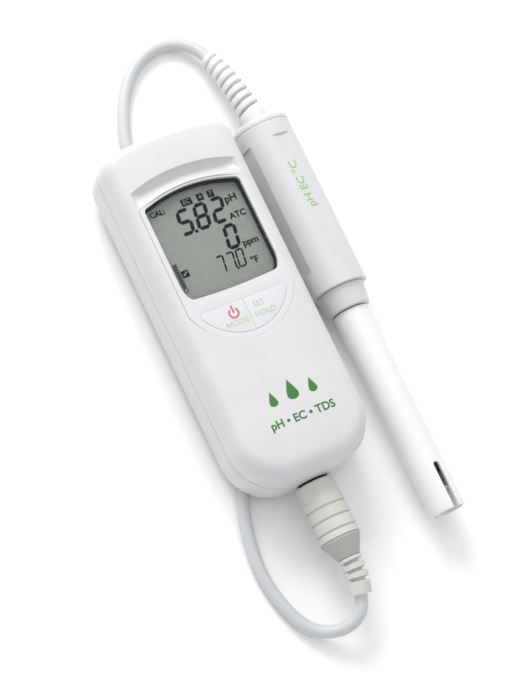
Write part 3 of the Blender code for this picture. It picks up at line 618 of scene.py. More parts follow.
def banded_radii(path, slots, start_r, end_r, slot_r, slot_share):
    """Radii along a relief whose bands are parted by slots, with a plain band at each end."""
    radii = []
    for i in range(len(path)):
        t = i / (len(path) - 1)
        outer = start_r + (end_r - start_r) * t
        phase = t * (slots + 1 + 0.2) - 0.6
        near = abs(phase - round(phase))
        share = 0.0
        if 0 <= round(phase) < slots:
            share = min(1.0, max(0.0, (slot_share / 2 + 0.05 - near) / 0.09))
        radii.append(outer + (slot_r - outer) * share)
    return radii


def ringed_radii(path, rings=8):
    """Radii of the long relief: a plain collar, then rings that shrink towards the cable."""
    radii = []
    collar, groove = 0.17, 0.40
    for i in range(len(path)):
        t = i / (len(path) - 1)
        if t < collar:
            radii.append(RING_COLLAR_R - 4.0 * max(0.0, t - collar * 0.6))
            continue
        along = (t - collar) / (1 - collar) * rings
        outer = RING_R - RING_TAPER * along / rings
        phase = along - int(along)
        edge = min(phase - 0.04, groove - phase) / 0.10
        share = min(1.0, max(0.0, edge)) if along < rings - 0.2 else 0.0
        crown = RING_CROWN
        if phase > groove:
            crown *= (2 * (phase - groove) / (1 - groove) - 1) ** 4
        radii.append(outer - crown * (1 - share) + (RING_GROOVE_R - outer) * share)
    return radii


def make_cables():
    upper, upper_path = make_cable("probe_lead_upper", UPPER_CABLE_ROUTE, "sensor_cable_upper")
    lower, lower_path = make_cable("probe_lead_lower", LOWER_CABLE_ROUTE, "sensor_cable_lower")
    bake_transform(upper)
    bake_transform(lower)

    path = smooth_path(PROBE_RELIEF_PATH, 0.13)
    probe_relief = finish_skin("probe_bend_relief", sweep(path, ringed_radii(path), 48, 0.12), "relief",
                               "probe", "probe_strain_relief", 50.0)
    path = smooth_path(PLUG_RELIEF_PATH, 0.11)
    radii = banded_radii(path, slots=3, start_r=4.75, end_r=4.45, slot_r=2.9, slot_share=0.32)
    plug_relief = finish_skin("plug_bend_relief", sweep(path, radii, 48), "plug", "connector",
                              "connector_strain_relief", 50.0)
    barrel, cone = make_plug()


def make_plug():
    points = [(0.5, BARREL_Y0), (7.4, BARREL_Y0), (7.9, BARREL_Y0 - 0.5), (8.0, -82.6), (8.35, -83.6)]
    for y in (-86.4, -91.4, -96.4):
        points += [(8.4, y), (7.7, y - 0.1), (7.7, y - 0.75), (8.4, y - 0.85)]
    points += [(8.4, BARREL_Y1 + 0.2), (8.2, BARREL_Y1), (0.5, BARREL_Y1)]
    barrel = lathe("plug_grip", fillet(points, 0.28), PLUG_X, PLUG_Z, "plug", "connector",
                   "connector_barrel")
    points = [(0.5, CONE_Y0 + 0.2), (8.15, CONE_Y0 + 0.2), (8.2, CONE_Y0 - 0.6), (7.8, CONE_Y0 - 1.3),
              (4.75, CONE_Y1 + 0.2), (4.6, CONE_Y1 - 0.2), (0.5, CONE_Y1 - 0.2)]
    cone = lathe("plug_taper", fillet(points, 0.3), PLUG_X, PLUG_Z, "cone", "connector", "connector_cone")
    return barrel, cone


make_cables()


# ---------------------------------------------------------------- case
def case_ring(z, side, head, tail):
    """Plan outline of the case at one height, drawn in by the given insets."""
    hw = HALF_W - side
    head_r = max(HEAD_R - 0.35 * (side + head), 2.5)
    tail_r = TAIL_R - 0.5 * (side + tail)
    top = HALF_L - head - HEAD_ARCH
    bottom = -HALF_L + tail + TAIL_ARCH
    corners = [(hw - head_r, top - head_r, head_r, 0, 16), (-hw + head_r, top - head_r, head_r, 90, 16),
               (-hw + tail_r, bottom + tail_r, tail_r, 180, 26),
               (hw - tail_r, bottom + tail_r, tail_r, 270, 26)]
    runs = [24, 70, 10, 70]
    plan = []
    for number, (cx, cy, radius, start, steps) in enumerate(corners):
        plan += arc(cx, cy, radius, start, start + 90, steps)
        after = corners[(number + 1) % 4]
        begin = radians(after[3])
        follow = (after[0] + after[2] * cos(begin), after[1] + after[2] * sin(begin))
        plan += line(plan[-1], follow, runs[number])[1:]
    ring = []
    for x, y in plan:
        arch = 1 - min(1.0, (x / hw) ** 2)
        ring.append((x, y + (HEAD_ARCH if y > 0 else -TAIL_ARCH) * arch, z))
    return ring


def inset_ring(z, inset):
    return case_ring(z, inset, inset, inset)


def roll_insets(t, depth=0.0):
    """Insets at angle t of the rolled front edge."""
    grow = 1 - cos(t)
    return (depth + DRAFT + ROLL_SIDE * grow, depth + DRAFT + ROLL_HEAD * grow,
            depth + DRAFT + ROLL_TAIL * grow)


CROWN_START = roll_insets(ROLL_END)
CROWN_END = (16.5, 17.0, 25.0)
CROWN_BASE_Z = ROLL_Z + (ROLL_TOP_Z - ROLL_Z) * sin(ROLL_END)


def crown_loop(s):
    insets = [a + (b - a) * s for a, b in zip(CROWN_START, CROWN_END)]
    return [(x, y) for x, y, _ in case_ring(0.0, *insets)]


def crown_height(points):
    """Height of the case's crowned front at an (n, 2) array of points, without the brow's scoop."""
    points = np.asarray(points, float)
    low, high = np.zeros(len(points)), np.ones(len(points))
    for _ in range(9):
        middle = (low + high) / 2
        order = np.digitize(middle, CROWN_LEVELS) - 1
        hit = np.zeros(len(points), bool)
        for level in np.unique(order):
            chosen = order == level
            hit[chosen] = inside(points[chosen], CROWN_LOOPS[level])
        low = np.where(hit, middle, low)
        high = np.where(hit, high, middle)
    return FRONT_Z - (FRONT_Z - CROWN_BASE_Z) * (1 - low) ** 2


CROWN_LEVELS = np.linspace(0.0, 1.0, 257)
CROWN_LOOPS = [crown_loop(s) for s in CROWN_LEVELS]


def brow_line(x):
    return BROW_SIDE_Y + (BROW_Y - BROW_SIDE_Y) * (1 - (x / BROW_HALF_W) ** 2)


def scoop_edge(x):
    return WINDOW_CORNER_Y + 1.0 + (WINDOW_PEAK_Y - WINDOW_CORNER_Y) * (1 - (x / BROW_HALF_W) ** 2)


def scoop_depth(points):
    """Depth of the scoop between the window's arch and the brow."""
    x, y = np.asarray(points, float).T
    edge, brow = scoop_edge(x), brow_line(x)
    t = (y - edge) / (brow - edge)
    wall = np.sqrt(np.clip(1 - ((t - SCOOP_DEEPEST) / (1 - SCOOP_DEEPEST)) ** 2, 0, 1))
    rise = 0.5 - 0.5 * np.cos(pi * np.clip(t / SCOOP_DEEPEST, 0, 1))
    fade = np.clip(1 - (np.abs(x) / BROW_HALF_W) ** 5, 0, 1) ** 0.7
    depth = SCOOP_DEPTH * fade * np.where(t < SCOOP_DEEPEST, rise, wall)
    return np.where((t > 0) & (t < 1) & (np.abs(x) < BROW_HALF_W), depth, 0.0)


def shield(grow=0.0):
    """Outline of the display bezel: straight sides, arched top, round bottom."""
    hw, radius = BEZEL_HALF_W + grow, BEZEL_R + grow
    first = degrees(-pi + atan2(sqrt(BEZEL_R ** 2 - BEZEL_HALF_W ** 2), BEZEL_HALF_W))
    points = arc(0, KEY_CENTRE_Y, radius, first, -180 - first, 90)
    corner_y = WINDOW_CORNER_Y + 0.5 + grow
    peak_y = WINDOW_PEAK_Y + 0.9 + grow
    points += line((hw, points[-1][1] + 1.0), (hw, corner_y - 1.2), 30)
    points += arc(hw - 1.3, corner_y - 1.2, 1.3, 0, 80, 5)
    points += arch(hw - 1.5, corner_y + 0.1, peak_y, 40)
    points += arc(-hw + 1.3, corner_y - 1.2, 1.3, 100, 180, 5)
    points += line((-hw, corner_y - 2.0), (-hw, points[0][1] + 1.0), 30)
    return points


def arch(half_w, side_y, peak_y, count):
    """Inner points of a shallow arch from +half_w to -half_w, without its ends."""
    xs = [half_w * (1 - 2 * i / (count + 1)) for i in range(1, count + 1)]
    return [(x, side_y + (peak_y - side_y) * (1 - (x / half_w) ** 2)) for x in xs]


def window_outline(grow=0.0):
    """Outline of the display window: arched top, slightly bowed foot and long lower corners."""
    hw = WINDOW_HALF_W + grow
    low, corner, peak = WINDOW_BOTTOM_Y - grow, WINDOW_CORNER_Y + grow, WINDOW_PEAK_Y + grow
    bow, rx, ry = 0.7, 3.4, 7.5
    ease = [radians(90 * i / 12) for i in range(13)]
    right_foot = [(hw - rx + rx * sin(t), low + bow + ry - ry * cos(t)) for t in ease]
    left_foot = [(-x, y) for x, y in right_foot][::-1]
    foot = [(x, low + bow * (x / (hw - rx)) ** 2) for x in np.linspace(-hw + rx, hw - rx, 32)[1:-1]]
    r = 2.4
    points = left_foot + [(float(x), float(y)) for x, y in foot] + right_foot
    points += line((hw, low + bow + ry + 1.2), (hw, corner - r), 14)
    points += arc(hw - r, corner - r + 0.8, r, 0, 70, 10)
    points += arch(hw - r, corner + 0.8, peak, 36)
    points += arc(-hw + r, corner - r + 0.8, r, 110, 180, 10)
    points += line((-hw, corner - r - 1.0), (-hw, low + bow + ry), 14)
    return points


def half_moon(grow):
    """Outline of both keys together: a flat top and a round foot with soft corners."""
    radius, top = KEY_R + grow, KEY_TOP_Y + grow
    soft = 1.5 + max(grow, 0.0)
    centre_y = top - soft
    centre_x = sqrt((radius - soft) ** 2 - (centre_y - KEY_CENTRE_Y) ** 2)
    meet = degrees(atan2(centre_y - KEY_CENTRE_Y, centre_x))
    points = arc(0, KEY_CENTRE_Y, radius, -180 - meet, meet, 80)
    points += arc(centre_x, centre_y, soft, meet, 90, 10)[1:]
    points += line((centre_x, top), (-centre_x, top), 30)[1:]
    points += arc(-centre_x, centre_y, soft, 90, 180 - meet, 10)[:-1]
    return points


def key_outline(side, grow=0.0):
    """One key: half of the half-moon, cut square at the split line."""
    radius, top, split = KEY_R + grow, KEY_TOP_Y + grow, KEY_SPLIT - grow
    soft = 1.5
    centre_y = top - soft
    centre_x = sqrt((radius - soft) ** 2 - (centre_y - KEY_CENTRE_Y) ** 2)
    meet = degrees(atan2(centre_y - KEY_CENTRE_Y, centre_x))
    points = arc(0, KEY_CENTRE_Y, radius, degrees(asin(split / radius)) - 90, meet, 44)
    foot = points[0]
    points += arc(centre_x, centre_y, soft, meet, 90, 10)[1:]
    points += line((centre_x, top), (split, top), 20)[1:]
    points += line((split, top), foot, 16)
    return [(side * x, y) for x, y in points]


def make_case_front():
    skin = Skin()
    rings = [inset_ring(SPLIT_Z, 0.35), inset_ring(SPLIT_Z + 0.12, 0.1), inset_ring(SPLIT_Z + 0.35, 0.0),
             inset_ring(SPLIT_Z + 1.2, 0.05), inset_ring(ROLL_Z - 1.2, 0.17)]
    steps = 16
    for i in range(steps + 1):
        t = ROLL_END * i / steps
        rings.append(case_ring(ROLL_Z + (ROLL_TOP_Z - ROLL_Z) * sin(t), *roll_insets(t)))
    base, rim = skin.stack(rings)

    outer = [(x, y) for x, y, _ in rings[-1]]
    ease = POCKET_EASE
    pocket_top = shield(POCKET_GAP + ease)
    rows = []
    xs = BROW_HALF_W * np.sin(np.linspace(-pi / 2, pi / 2, 61))[1:-1]
    for t in (0.08, 0.17, 0.27, 0.37, 0.47, 0.57, 0.66, 0.75, 0.83, 0.9, 0.95, 0.98, 0.995):
        rows.append([(float(x), float(scoop_edge(x) + (brow_line(x) - scoop_edge(x)) * t)) for x in xs])
    for above in (0.06, 0.3):
        rows.append([(float(x), float(brow_line(x) + above)) for x in xs])
    taken = [p for row in rows for p in row]
    pocket_clear = shield(POCKET_GAP + ease + 0.5)
    rows = [[p for p in row if not inside(np.array([p]), pocket_clear)[0]] for row in rows]
    rows = [row for row in rows if len(row) > 2]
    loose = grid_inside(outer, [pocket_top], CROWN_GRID, taken)
    flat, faces, origin = triangulate(outer, [pocket_top], rows, loose)
    depth = scoop_depth(flat)
    zs = crown_height(flat) - depth
    first = {}
    for i, sources in enumerate(origin):
        ring_source = [s for s in sources if s < len(outer)]
        if ring_source:
            first[i] = rim[ring_source[0]]
        else:
            first[i] = len(skin.verts)
            skin.verts.append((*flat[i], zs[i]))
    for face in faces:
        skin.faces.append(tuple(first[i] for i in face))

    pocket_heights = crown_height(np.array(pocket_top)) - scoop_depth(pocket_top)
    begin = len(outer)
    lookup = {s: first[i] for i, sources in enumerate(origin) for s in sources}
    pocket_rim = [lookup[begin + k] for k in range(len(pocket_top))]
    lower = pocket_rim
    for turn in (0.25, 0.5, 0.75, 1.0):
        angle = turn * pi / 2
        loop = shield(POCKET_GAP + ease * (1 - sin(angle)))
        ring = skin.ring([(x, y, z - ease * (1 - cos(angle))) for (x, y), z in zip(loop, pocket_heights)])
        skin.bridge(lower, ring)
        lower = ring
    opening = shield(-SEAT_LIP)
    for loop, z in ((shield(POCKET_GAP), SEAT_Z), (opening, SEAT_Z), (opening, CEILING_Z)):
        ring = skin.ring([(x, y, z) for x, y in loop])
        skin.bridge(lower, ring)
        lower = ring

    inner_rings = [inset_ring(SPLIT_Z, 1.1), inset_ring(SPLIT_Z + 0.9, 1.1), inset_ring(SPLIT_Z + 0.9, WALL)]
    for i in range(7):
        t = pi / 2 * i / 6
        insets = [WALL + DRAFT + roll * (1 - cos(t)) for roll in INNER_ROLL]
        inner_rings.append(case_ring(ROLL_Z + (CEILING_Z - ROLL_Z) * sin(t), *insets))
    inner_base, inner_rim = skin.stack(inner_rings)
    skin.bridge(inner_base, base)
    ceiling_outer = [(x, y) for x, y, _ in inner_rings[-1]]
    flat, faces, origin = triangulate(ceiling_outer, [opening])
    lookup = {}
    for i, sources in enumerate(origin):
        source = min(sources)
        lookup[i] = inner_rim[source] if source < len(ceiling_outer) else lower[source - len(ceiling_outer)]
    for face in faces:
        skin.faces.append(tuple(lookup[i] for i in face))
    finish_skin("case_front", skin, "shell", "meter", "front_shell", 40.0)


def cutter(skin):
    mesh = bpy.data.meshes.new("cutter")
    mesh.from_pydata([place(v) for v in skin.verts], [], skin.faces)
    obj = bpy.data.objects.new("cutter", mesh)
    bpy.context.scene.collection.objects.link(obj)
    turn_out(obj)
    return obj


def cut(target, skins, sharp=32.0):
    """Cuts closed skins out of a piece and bakes the result into its mesh."""
    tools = [cutter(skin) for skin in skins]
    for tool in tools:
        modifier = target.modifiers.new("cut", "BOOLEAN")
        modifier.object = tool
        modifier.operation = "DIFFERENCE"
        modifier.solver = "EXACT"
    bpy.context.view_layer.update()
    graph = bpy.context.evaluated_depsgraph_get()
    mesh = bpy.data.meshes.new_from_object(target.evaluated_get(graph))
    target.modifiers.clear()
    target.data = mesh
    for tool in tools:
        bpy.data.objects.remove(tool)
    smooth(mesh, sharp)


def prism(points, z0, z1):
    skin = Skin()
    low, high = skin.stack([[(x, y, z) for x, y in points] for z in (z0, z1)])
    skin.cap(low, True)
    skin.cap(high)
    return skin


def box(x0, x1, y0, y1, z0, z1):
    return prism([(x0, y0), (x1, y0), (x1, y1), (x0, y1)], z0, z1)


def tube_y(radius, y0, y1, x, z, sides=64):
    skin = Skin()
    turns = [2 * pi * i / sides for i in range(sides)]
    low, high = skin.stack([[(x + radius * sin(t), y, z + radius * cos(t)) for t in turns] for y in (y0, y1)])
    skin.cap(low, True)
    skin.cap(high)
    return skin


SCREW_PLACES = [(23.2, 60.0), (-23.2, 60.0), (17.5, -60.0), (-17.5, -60.0)]
BACK_TOP_Z = BACK_HIGH.z
DOOR_LOW, DOOR_HIGH = span("battery_door")


def make_case_back():
    skin = Skin()
    radius, steps = 3.0, 10
    rings = []
    for i in range(steps + 1):
        t = pi / 2 * i / steps
        rings.append(inset_ring(BACK_Z + radius * (1 - cos(t)), 0.4 + radius * (1 - sin(t))))
    rings += [inset_ring(13.0, 0.22), inset_ring(BACK_TOP_Z - 0.35, 0.0), inset_ring(BACK_TOP_Z - 0.12, 0.1),
              inset_ring(BACK_TOP_Z, 0.35), inset_ring(BACK_TOP_Z, WALL),
              inset_ring(BACK_Z + 3.2, WALL + 0.4)]
    first, last = skin.stack(rings)
    skin.cap(first, True)
    skin.cap(last)
    obj = finish_skin("case_back", skin, "shell", "meter", "back_shell")
    gap = 0.25
    tools = [box(DOOR_LOW.x - gap, DOOR_HIGH.x + gap, DOOR_LOW.y - gap, HALF_L + 5, 0.0, DOOR_HIGH.z + gap),
             box(-16.6, 16.6, 22.3, 67.7, 6.0, 9.5),
             tube_y(6.2, -HALF_L - 5, -70.0, PLUG_X, PLUG_Z)]
    for x, y in SCREW_PLACES:
        tools.append(prism(arc(x, y, 2.8, 0, 352.5, 47), 0.0, 8.0))
        tools.append(prism(arc(x, y, 1.6, 0, 345, 23), 5.0, 12.0))
    cut(obj, tools, 30.0)


def make_door():
    """Sliding battery door: eased edges and a thumb pad of grip ribs."""
    skin = Skin()
    x, y0, y1 = DOOR_HIGH.x, DOOR_LOW.y, DOOR_HIGH.y
    z0, z1 = DOOR_LOW.z, DOOR_HIGH.z
    side = fillet([(y0, z1), (y0, z0 + 0.1), (y0 + 0.3, z0), (y1 - 2.8, z0), (y1 - 1.4, z0 + 0.4),
                   (y1 - 0.4, z0 + 1.4), (y1, z1)], 0.4)
    rings = []
    for inset, lift in ((0.0, 0.35), (0.1, 0.1), (0.35, 0.0)):
        rings.append([(-x + inset, py, max(pz, z0 + lift)) for py, pz in side])
    rings += [[(-px, py, pz) for px, py, pz in ring] for ring in rings[::-1]]
    first, last = skin.stack(rings)
    skin.cap(first, True)
    skin.cap(last)
    obj = finish_skin("door_cover", skin, "shell", "battery_door", "battery_door")
    ribs = []
    for i in range(7):
        y = 56.0 + 1.9 * i
        half = 8.5 - 0.4 * abs(i - 3)
        outline = arc(half, y, 0.45, -90, 90, 6) + arc(-half, y, 0.45, 90, 270, 6)
        ribs.append(prism(outline, z0 - 1.0, z0 + 0.5))
    cut(obj, ribs)


make_case_front()
make_case_back()
make_door()


# ---------------------------------------------------------------- display
def make_display():
    plate("bezel", shield, [window_outline, lambda grow: half_moon(KEY_GAP + grow)], 33.4, BEZEL_TOP_Z,
          "gloss", "meter", "display_bezel", edge=0.16)
    plate("window_glass", lambda grow: window_outline(grow - 0.3), [], 33.5, 34.9, "window", "meter",
          "display_window", edge=0.1)
    plate("lcd_mask", lambda grow: window_outline(grow + 0.1), [mask_opening], 31.2, 33.1, "black", "meter",
          "lcd_frame", edge=0.1)
    low, high = span("lcd_panel")

    def cell(grow):
        return [(low.x - grow, low.y - grow), (high.x + grow, low.y - grow), (high.x + grow, high.y + grow),
                (low.x - grow, high.y + grow)]

    plate("lcd_glass", cell, [], low.z, high.z, "lcd", "meter", "lcd_panel", edge=0.15)


def mask_opening(grow):
    """Opening of the black mask, drawn in a little further at the head than at the sides."""
    return [(x - 0.1 if x > 0 else x + 0.1, y - 0.3 if y > 30 else y) for x, y in window_outline(grow - 0.45)]


make_display()


# ---------------------------------------------------------------- display characters
SEGMENTS = {"0": "abcdef", "2": "abged", "5": "afgcd", "7": "abc", "8": "abcdefg"}


def segment_bars(width, height, stroke):
    """Bars of a seven-segment digit about its centre, each with pointed ends."""
    w, h, s = width / 2, height / 2, stroke / 2
    gap = 0.05 * stroke
    ends = {"a": ((-w, h), (w, h)), "g": ((-w, 0), (w, 0)), "d": ((-w, -h), (w, -h)),
            "f": ((-w, h), (-w, 0)), "b": ((w, h), (w, 0)), "e": ((-w, 0), (-w, -h)), "c": ((w, 0), (w, -h))}
    bars = {}
    for key, (start, end) in ends.items():
        a, b = Vector(start), Vector(end)
        run = (b - a).normalized()
        across = Vector((-run.y, run.x))
        a, b = a + run * gap, b - run * gap
        bars[key] = [a, a + run * s + across * s, b - run * s + across * s, b, b - run * s - across * s,
                     a + run * s - across * s]
    return bars


def flat_shapes(name, shapes, z, finish, body, thick=0.06):
    """Thin raised print from a list of plan outlines."""
    skin = Skin()
    for shape in shapes:
        low, high = skin.stack([[(x, y, level) for x, y in shape] for level in (z - 0.02, z + thick)])
        skin.cap(low, True)
        skin.cap(high)
    return finish_skin(name, skin, finish, body)


def digits(text, centres, y, width, height, stroke, slant=0.16):
    shapes = []
    bars = segment_bars(width, height, stroke)
    for char, x in zip(text, centres):
        for key in SEGMENTS[char]:
            shapes.append([(x + p.x + slant * p.y, y + p.y) for p in bars[key]])
    return shapes


def square(x, y, half_w, half_h):
    corners = [(-half_w, -half_h), (half_w, -half_h), (half_w, half_h), (-half_w, half_h)]
    return [(x + px, y + py) for px, py in corners]


def band_quads(x, y, outer, inner, start, turn, steps):
    """Quads of a flat ring, or a part of one; angles in degrees."""
    quads = []
    for i in range(steps):
        a, b = (radians(start + turn * k / steps) for k in (i, i + 1))
        corners = ((outer, a), (outer, b), (inner, b), (inner, a))
        quads.append([(x + r * cos(t), y + r * sin(t)) for r, t in corners])
    return quads


def word(name, text, size, x, y, finish, body, surface, weight=0.0, turn=0.0):
    """Thin raised lettering; surface(x, y, lift) puts a point on what it is printed on."""
    curve = bpy.data.curves.new(name, "FONT")
    curve.body = text
    curve.size = size
    curve.align_x, curve.align_y = "CENTER", "CENTER"
    curve.offset = weight
    curve.extrude = 0.5
    curve.resolution_u = 4
    source = bpy.data.objects.new(name + "_source", curve)
    mesh = bpy.data.meshes.new_from_object(source)
    bpy.data.objects.remove(source)
    spin = Matrix.Rotation(radians(turn), 2)
    flat = [spin @ Vector((v.co.x, v.co.y)) for v in mesh.vertices]
    lifts = [PRINT_TOP if v.co.z > 0 else PRINT_FOOT for v in mesh.vertices]
    verts = surface([(x + p.x, y + p.y) for p in flat], lifts)
    mesh.calc_loop_triangles()
    faces = [tuple(t.vertices) for t in mesh.loop_triangles]
    bpy.data.meshes.remove(mesh)
    obj = new_piece(name, verts, faces, finish, body)
    obj.data.shade_flat()


PRINT_TOP, PRINT_FOOT = 0.04, -0.03     # raised print, measured from the surface under it


def on_level(z):
    return lambda points, lifts: [(x, y, z + lift) for (x, y), lift in zip(points, lifts)]


def make_characters():
    z = LCD_TOP_Z
    shapes = digits("582", (-6.1, 1.25, 8.6), 36.5, 4.5, 9.6, 1.5)
    shapes.append(square(-3.4, 31.4, 0.65, 0.65))
    flat_shapes("lcd_main_reading", shapes, z, "segment", "meter")
    flat_shapes("lcd_second_reading", digits("0", (8.8,), 24.6, 4.3, 9.0, 1.5), z, "segment", "meter")
    shapes = digits("770", (-0.2, 4.2, 8.4), 15.2, 2.8, 6.9, 0.72, 0.14)
    shapes.append(square(5.7, 11.6, 0.42, 0.42))
    flat_shapes("lcd_third_reading", shapes, z, "segment", "meter")
    for name, text, size, x, y in (("ph", "pH", 4.3, 15.3, 39.4), ("atc", "ATC", 3.6, 15.2, 32.2),
                                   ("ppm", "ppm", 3.9, 15.1, 20.2), ("degrees", "°F", 3.8, 13.3, 12.4),
                                   ("cal", "CAL:", 3.1, -15.2, 43.4)):
        word("lcd_" + name, text, size, x, y, "segment", "meter", on_level(z), 0.13)
    boxes = [square(-2.1, 44.0, 2.3, 1.5), square(3.9, 44.0, 1.4, 1.5), square(8.5, 43.9, 1.4, 1.5),
             square(-15.3, 16.8, 1.5, 1.5)]
    flat_shapes("lcd_boxes", boxes, z, "segment", "meter")
    for name, text, x, y in (("ec", "EC", -2.1, 44.0), ("four", "4", 3.9, 44.0), ("seven", "7", 8.5, 43.9)):
        word("lcd_box_" + name, text, 2.6, x, y, "lcd", "meter", on_level(z + 0.07))
    flat_shapes("lcd_box_tick", [[(-16.3, 16.4), (-15.9, 16.0), (-14.3, 17.4), (-14.6, 17.8)]], z + 0.06,
                "lcd", "meter")
    bars = [square(-18.0, 11.9 + 0.95 * i, 0.6, 0.36) for i in range(11)]
    bars += [square(-18.85, 16.6, 0.1, 5.2), square(-17.15, 16.6, 0.1, 5.2)]
    ring = band_quads(-18.0, 10.4, 1.0, 0.7, 0, 360, 16)
    flat_shapes("lcd_bar", bars + ring, z, "segment", "meter")


make_characters()


# ---------------------------------------------------------------- keys and print
def make_keys():
    for name, side, node in (("key_mode", -1, "mode_button"), ("key_set", 1, "set_button")):
        plate(name, lambda grow, side=side: key_outline(side, grow), [], 32.6, KEY_TOP_Z, "key", node, node,
              edge=0.12)
    level = on_level(KEY_TOP_Z)
    word("legend_mode", "ODE", 3.3, -4.5, -9.9, "legend_green", "mode_button", level, 0.02)
    letter_m = [(-10.75, -11.0), (-10.3, -11.0), (-10.3, -9.5), (-9.48, -10.75), (-8.65, -9.5), (-8.65, -11.0),
                (-8.2, -11.0), (-8.2, -8.6), (-8.6, -8.6), (-9.48, -9.95), (-10.35, -8.6), (-10.75, -8.6)]
    flat_shapes("legend_mode_initial", [letter_m], KEY_TOP_Z, "legend_green", "mode_button", 0.04)
    word("legend_set", "SET", 3.3, 5.3, -5.4, "legend_green", "set_button", level, 0.03)
    word("legend_hold", "HOLD", 3.3, 6.4, -9.5, "legend_green", "set_button", level, 0.03)
    gap = 38                                # half of the ring's opening, in degrees
    shapes = band_quads(-5.8, -5.7, 2.3, 1.5, 90 + gap, 360 - 2 * gap, 22)
    shapes.append(square(-5.8, -4.1, 0.4, 1.6))
    flat_shapes("legend_power", shapes, KEY_TOP_Z, "legend_red", "mode_button", 0.05)


def on_crown(points, lifts):
    return [(x, y, z + lift) for (x, y), z, lift in zip(points, crown_height(points), lifts)]


def make_print():
    word("case_lettering", "pH • EC • TDS", 4.6, 1.6, -53.1, "print_green", "meter", on_crown, 0.13)
    shapes = []
    for cx, cy, size in ((1.6, -42.4, 1.5), (-7.0, -43.4, 1.1), (10.2, -43.4, 1.1)):
        rim = []
        for i in range(28):
            t = 2 * pi * i / 28
            rim.append((-2.3 * sin(t) * sin(t / 2) ** 1.5, 3.2 * cos(t) if cos(t) > 0 else 2.4 * cos(t)))
        shapes.append([(cx + size * px, cy + size * py) for px, py in rim])
    skin = Skin()
    for shape in shapes:
        rings = [on_crown(shape, [lift] * len(shape)) for lift in (PRINT_FOOT, PRINT_TOP)]
        low, high = skin.stack(rings)
        skin.cap(low, True)
        skin.cap(high)
    finish_skin("case_mark", skin, "print_green", "meter")


def housing_radius(angle, y):
    """Radius of the probe's grip: round, with four shallow flats."""
    if not FLAT_Y0 < y < FLAT_Y1:
        return HOUSING_R
    depth = sqrt(HOUSING_R ** 2 - FLAT_HALF_W ** 2)
    near = (degrees(angle) - FLAT_TURN + 45) % 90 - 45
    return min(HOUSING_R, depth / cos(radians(near)))


def on_grip(points, lifts):
    """Print on the probe's grip: x runs round it from its top line, y runs along it."""
    placed = []
    for (x, y), lift in zip(points, lifts):
        angle = x / HOUSING_R
        radius = housing_radius(angle, y) + lift
        placed.append((PROBE_X + radius * sin(angle), y, PROBE_Z + radius * cos(angle)))
    return placed


def make_probe_print():
    word("probe_lettering", "pH EC °C", 5.2, 1.6, 37.0, "print_leaf", "probe", on_grip, 0.03,
         turn=90)


make_keys()
make_print()
make_probe_print()


# ---------------------------------------------------------------- probe
def make_probe():
    skin = Skin()
    step = 0.04
    ys = [HOUSING_Y0 + 0.12, HOUSING_Y0 + 0.5, 0.0, FLAT_Y0 - 0.5, FLAT_Y0 - step, FLAT_Y0 + step,
          FLAT_Y0 + 0.5]
    ys += list(np.linspace(FLAT_Y0 + 4, FLAT_Y1 - 4, 12))
    ys += [FLAT_Y1 - 0.5, FLAT_Y1 - step, FLAT_Y1 + step, FLAT_Y1 + 0.5, HOUSING_Y1 - 0.3, HOUSING_Y1]
    half = degrees(atan2(FLAT_HALF_W, sqrt(HOUSING_R ** 2 - FLAT_HALF_W ** 2)))
    turns = []
    for quarter in range(4):
        middle = FLAT_TURN + 90 * quarter
        turns += list(np.linspace(middle - half, middle + half, 15))
        turns += list(np.linspace(middle + half, middle + 90 - half, 22))[1:-1]
    turns = [radians(float(t)) for t in turns]

    def ring(y, radius=None, ease=0.0):
        rs = [(radius if radius else housing_radius(t, y) - ease) for t in turns]
        return [(PROBE_X + r * sin(t), y, PROBE_Z + r * cos(t)) for r, t in zip(rs, turns)]

    rings = [ring(HOUSING_Y0, 10.0), ring(HOUSING_Y0, 11.5), ring(ys[0], 11.8)]
    rings += [ring(y) for y in ys[1:-2]] + [ring(ys[-2]), ring(ys[-1], 11.85), ring(ys[-1], 10.0)]
    first, last = skin.stack(rings)
    skin.bridge(last, first)
    finish_skin("probe_grip", skin, "shell", "probe", "probe_housing", 20.0)

    cap = [(0.5, CAP_Y0 - 0.2), (11.85, CAP_Y0 - 0.2), (12.0, CAP_Y0 - 0.05), (12.0, CAP_Y1 - 1.8),
           (11.5, CAP_Y1 - 0.7), (10.2, CAP_Y1), (0.5, CAP_Y1)]
    lathe("probe_end_cap", fillet(cap, 0.5), PROBE_X, PROBE_Z, "shell", "probe", "probe_cap")
    collar = [(0.5, COLLAR_Y0 + 0.2), (10.2, COLLAR_Y0 + 0.2), (10.25, COLLAR_Y0 - 0.1), (9.05, COLLAR_Y1 + 1.2),
              (8.95, COLLAR_Y1 + 0.4), (8.55, COLLAR_Y1), (0.5, COLLAR_Y1)]
    lathe("probe_neck", fillet(collar, 0.35), PROBE_X, PROBE_Z, "shell", "probe", "probe_collar")
    make_sleeve()
    bulb = [(2.0, -90.3), (2.05, -91.6), (2.3, -92.6), (3.0, -93.6), (3.3, -94.9), (3.0, -96.3), (2.1, -97.4),
            (1.0, -97.9), (0.3, -98.0)]
    lathe("glass_bulb", fillet(bulb, 0.6, 3), PROBE_X, PROBE_Z, "glass", "probe", "ph_bulb", 40)


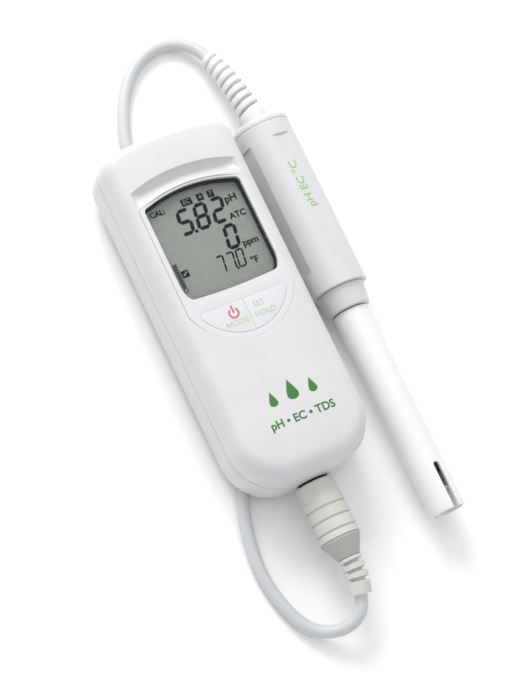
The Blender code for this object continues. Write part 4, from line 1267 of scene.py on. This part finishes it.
def make_sleeve():
    outer = [(SLEEVE_R - 0.25, SLEEVE_Y0), (SLEEVE_BORE, SLEEVE_Y0), (SLEEVE_BORE, SLEEVE_Y1 + 0.05),
             (SLEEVE_BORE + 0.05, SLEEVE_Y1), (SLEEVE_R - 0.4, SLEEVE_Y1), (SLEEVE_R - 0.1, SLEEVE_Y1 + 0.1),
             (SLEEVE_R, SLEEVE_Y1 + 0.4)]
    outer += [(SLEEVE_R, y) for y in np.linspace(SLEEVE_Y1 + 4, SLEEVE_Y0 - 4, 8)]
    outer += [(SLEEVE_R, SLEEVE_Y0 - 0.25)]
    sleeve = lathe("probe_guard", outer, PROBE_X, PROBE_Z, "sleeve", "probe_sleeve", "probe_sleeve", 96, True)
    half = SLOT_W / 2
    slots = []
    for number in range(SLOT_COUNT):
        outline = [(half, SLEEVE_Y1 - 3), (half, SLOT_Y0 - half)]
        outline += arc(0, SLOT_Y0 - half, half, 10, 170, 12) + [(-half, SLOT_Y0 - half), (-half, SLEEVE_Y1 - 3)]
        slot = prism(outline, 3.0, 10.0)
        turn = Matrix.Rotation(radians(FLAT_TURN + 360 / SLOT_COUNT * number), 3, "Y")
        slot.verts = [tuple(turn @ Vector(v) + Vector((PROBE_X, 0, PROBE_Z))) for v in slot.verts]
        slots.append(slot)
    cut(sleeve, slots, 28.0)


make_probe()


# ---------------------------------------------------------------- parts kept as modelled
KEPT = {
    "case_gasket": "rubber", "elastomer_strip_lower": "rubber", "elastomer_strip_upper": "rubber",
    "main_board": "board", "controller_chip": "black", "mode_switch": "steel", "set_switch": "steel",
    "battery_1": "battery", "battery_2": "battery", "battery_3": "battery", "battery_tray": "black",
    "contact_plate_lower": "steel", "contact_plate_upper": "steel", "sensor_socket": "black",
    "socket_insert": "brass", "connector_nose": "steel", "connector_insert": "black",
    "amplifier_board": "board", "probe_stem": "stem", "sleeve_seal": "rubber", "ec_electrode_1": "black",
    "ec_electrode_2": "black", "temperature_sensor": "steel", "reference_junction": "ceramic",
}
KEPT.update({f"case_screw_{i}": "steel" for i in range(1, 5)})
for node, finish in KEPT.items():
    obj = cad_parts[node]
    obj.data.materials.clear()
    obj.data.materials.append(MATS[finish])
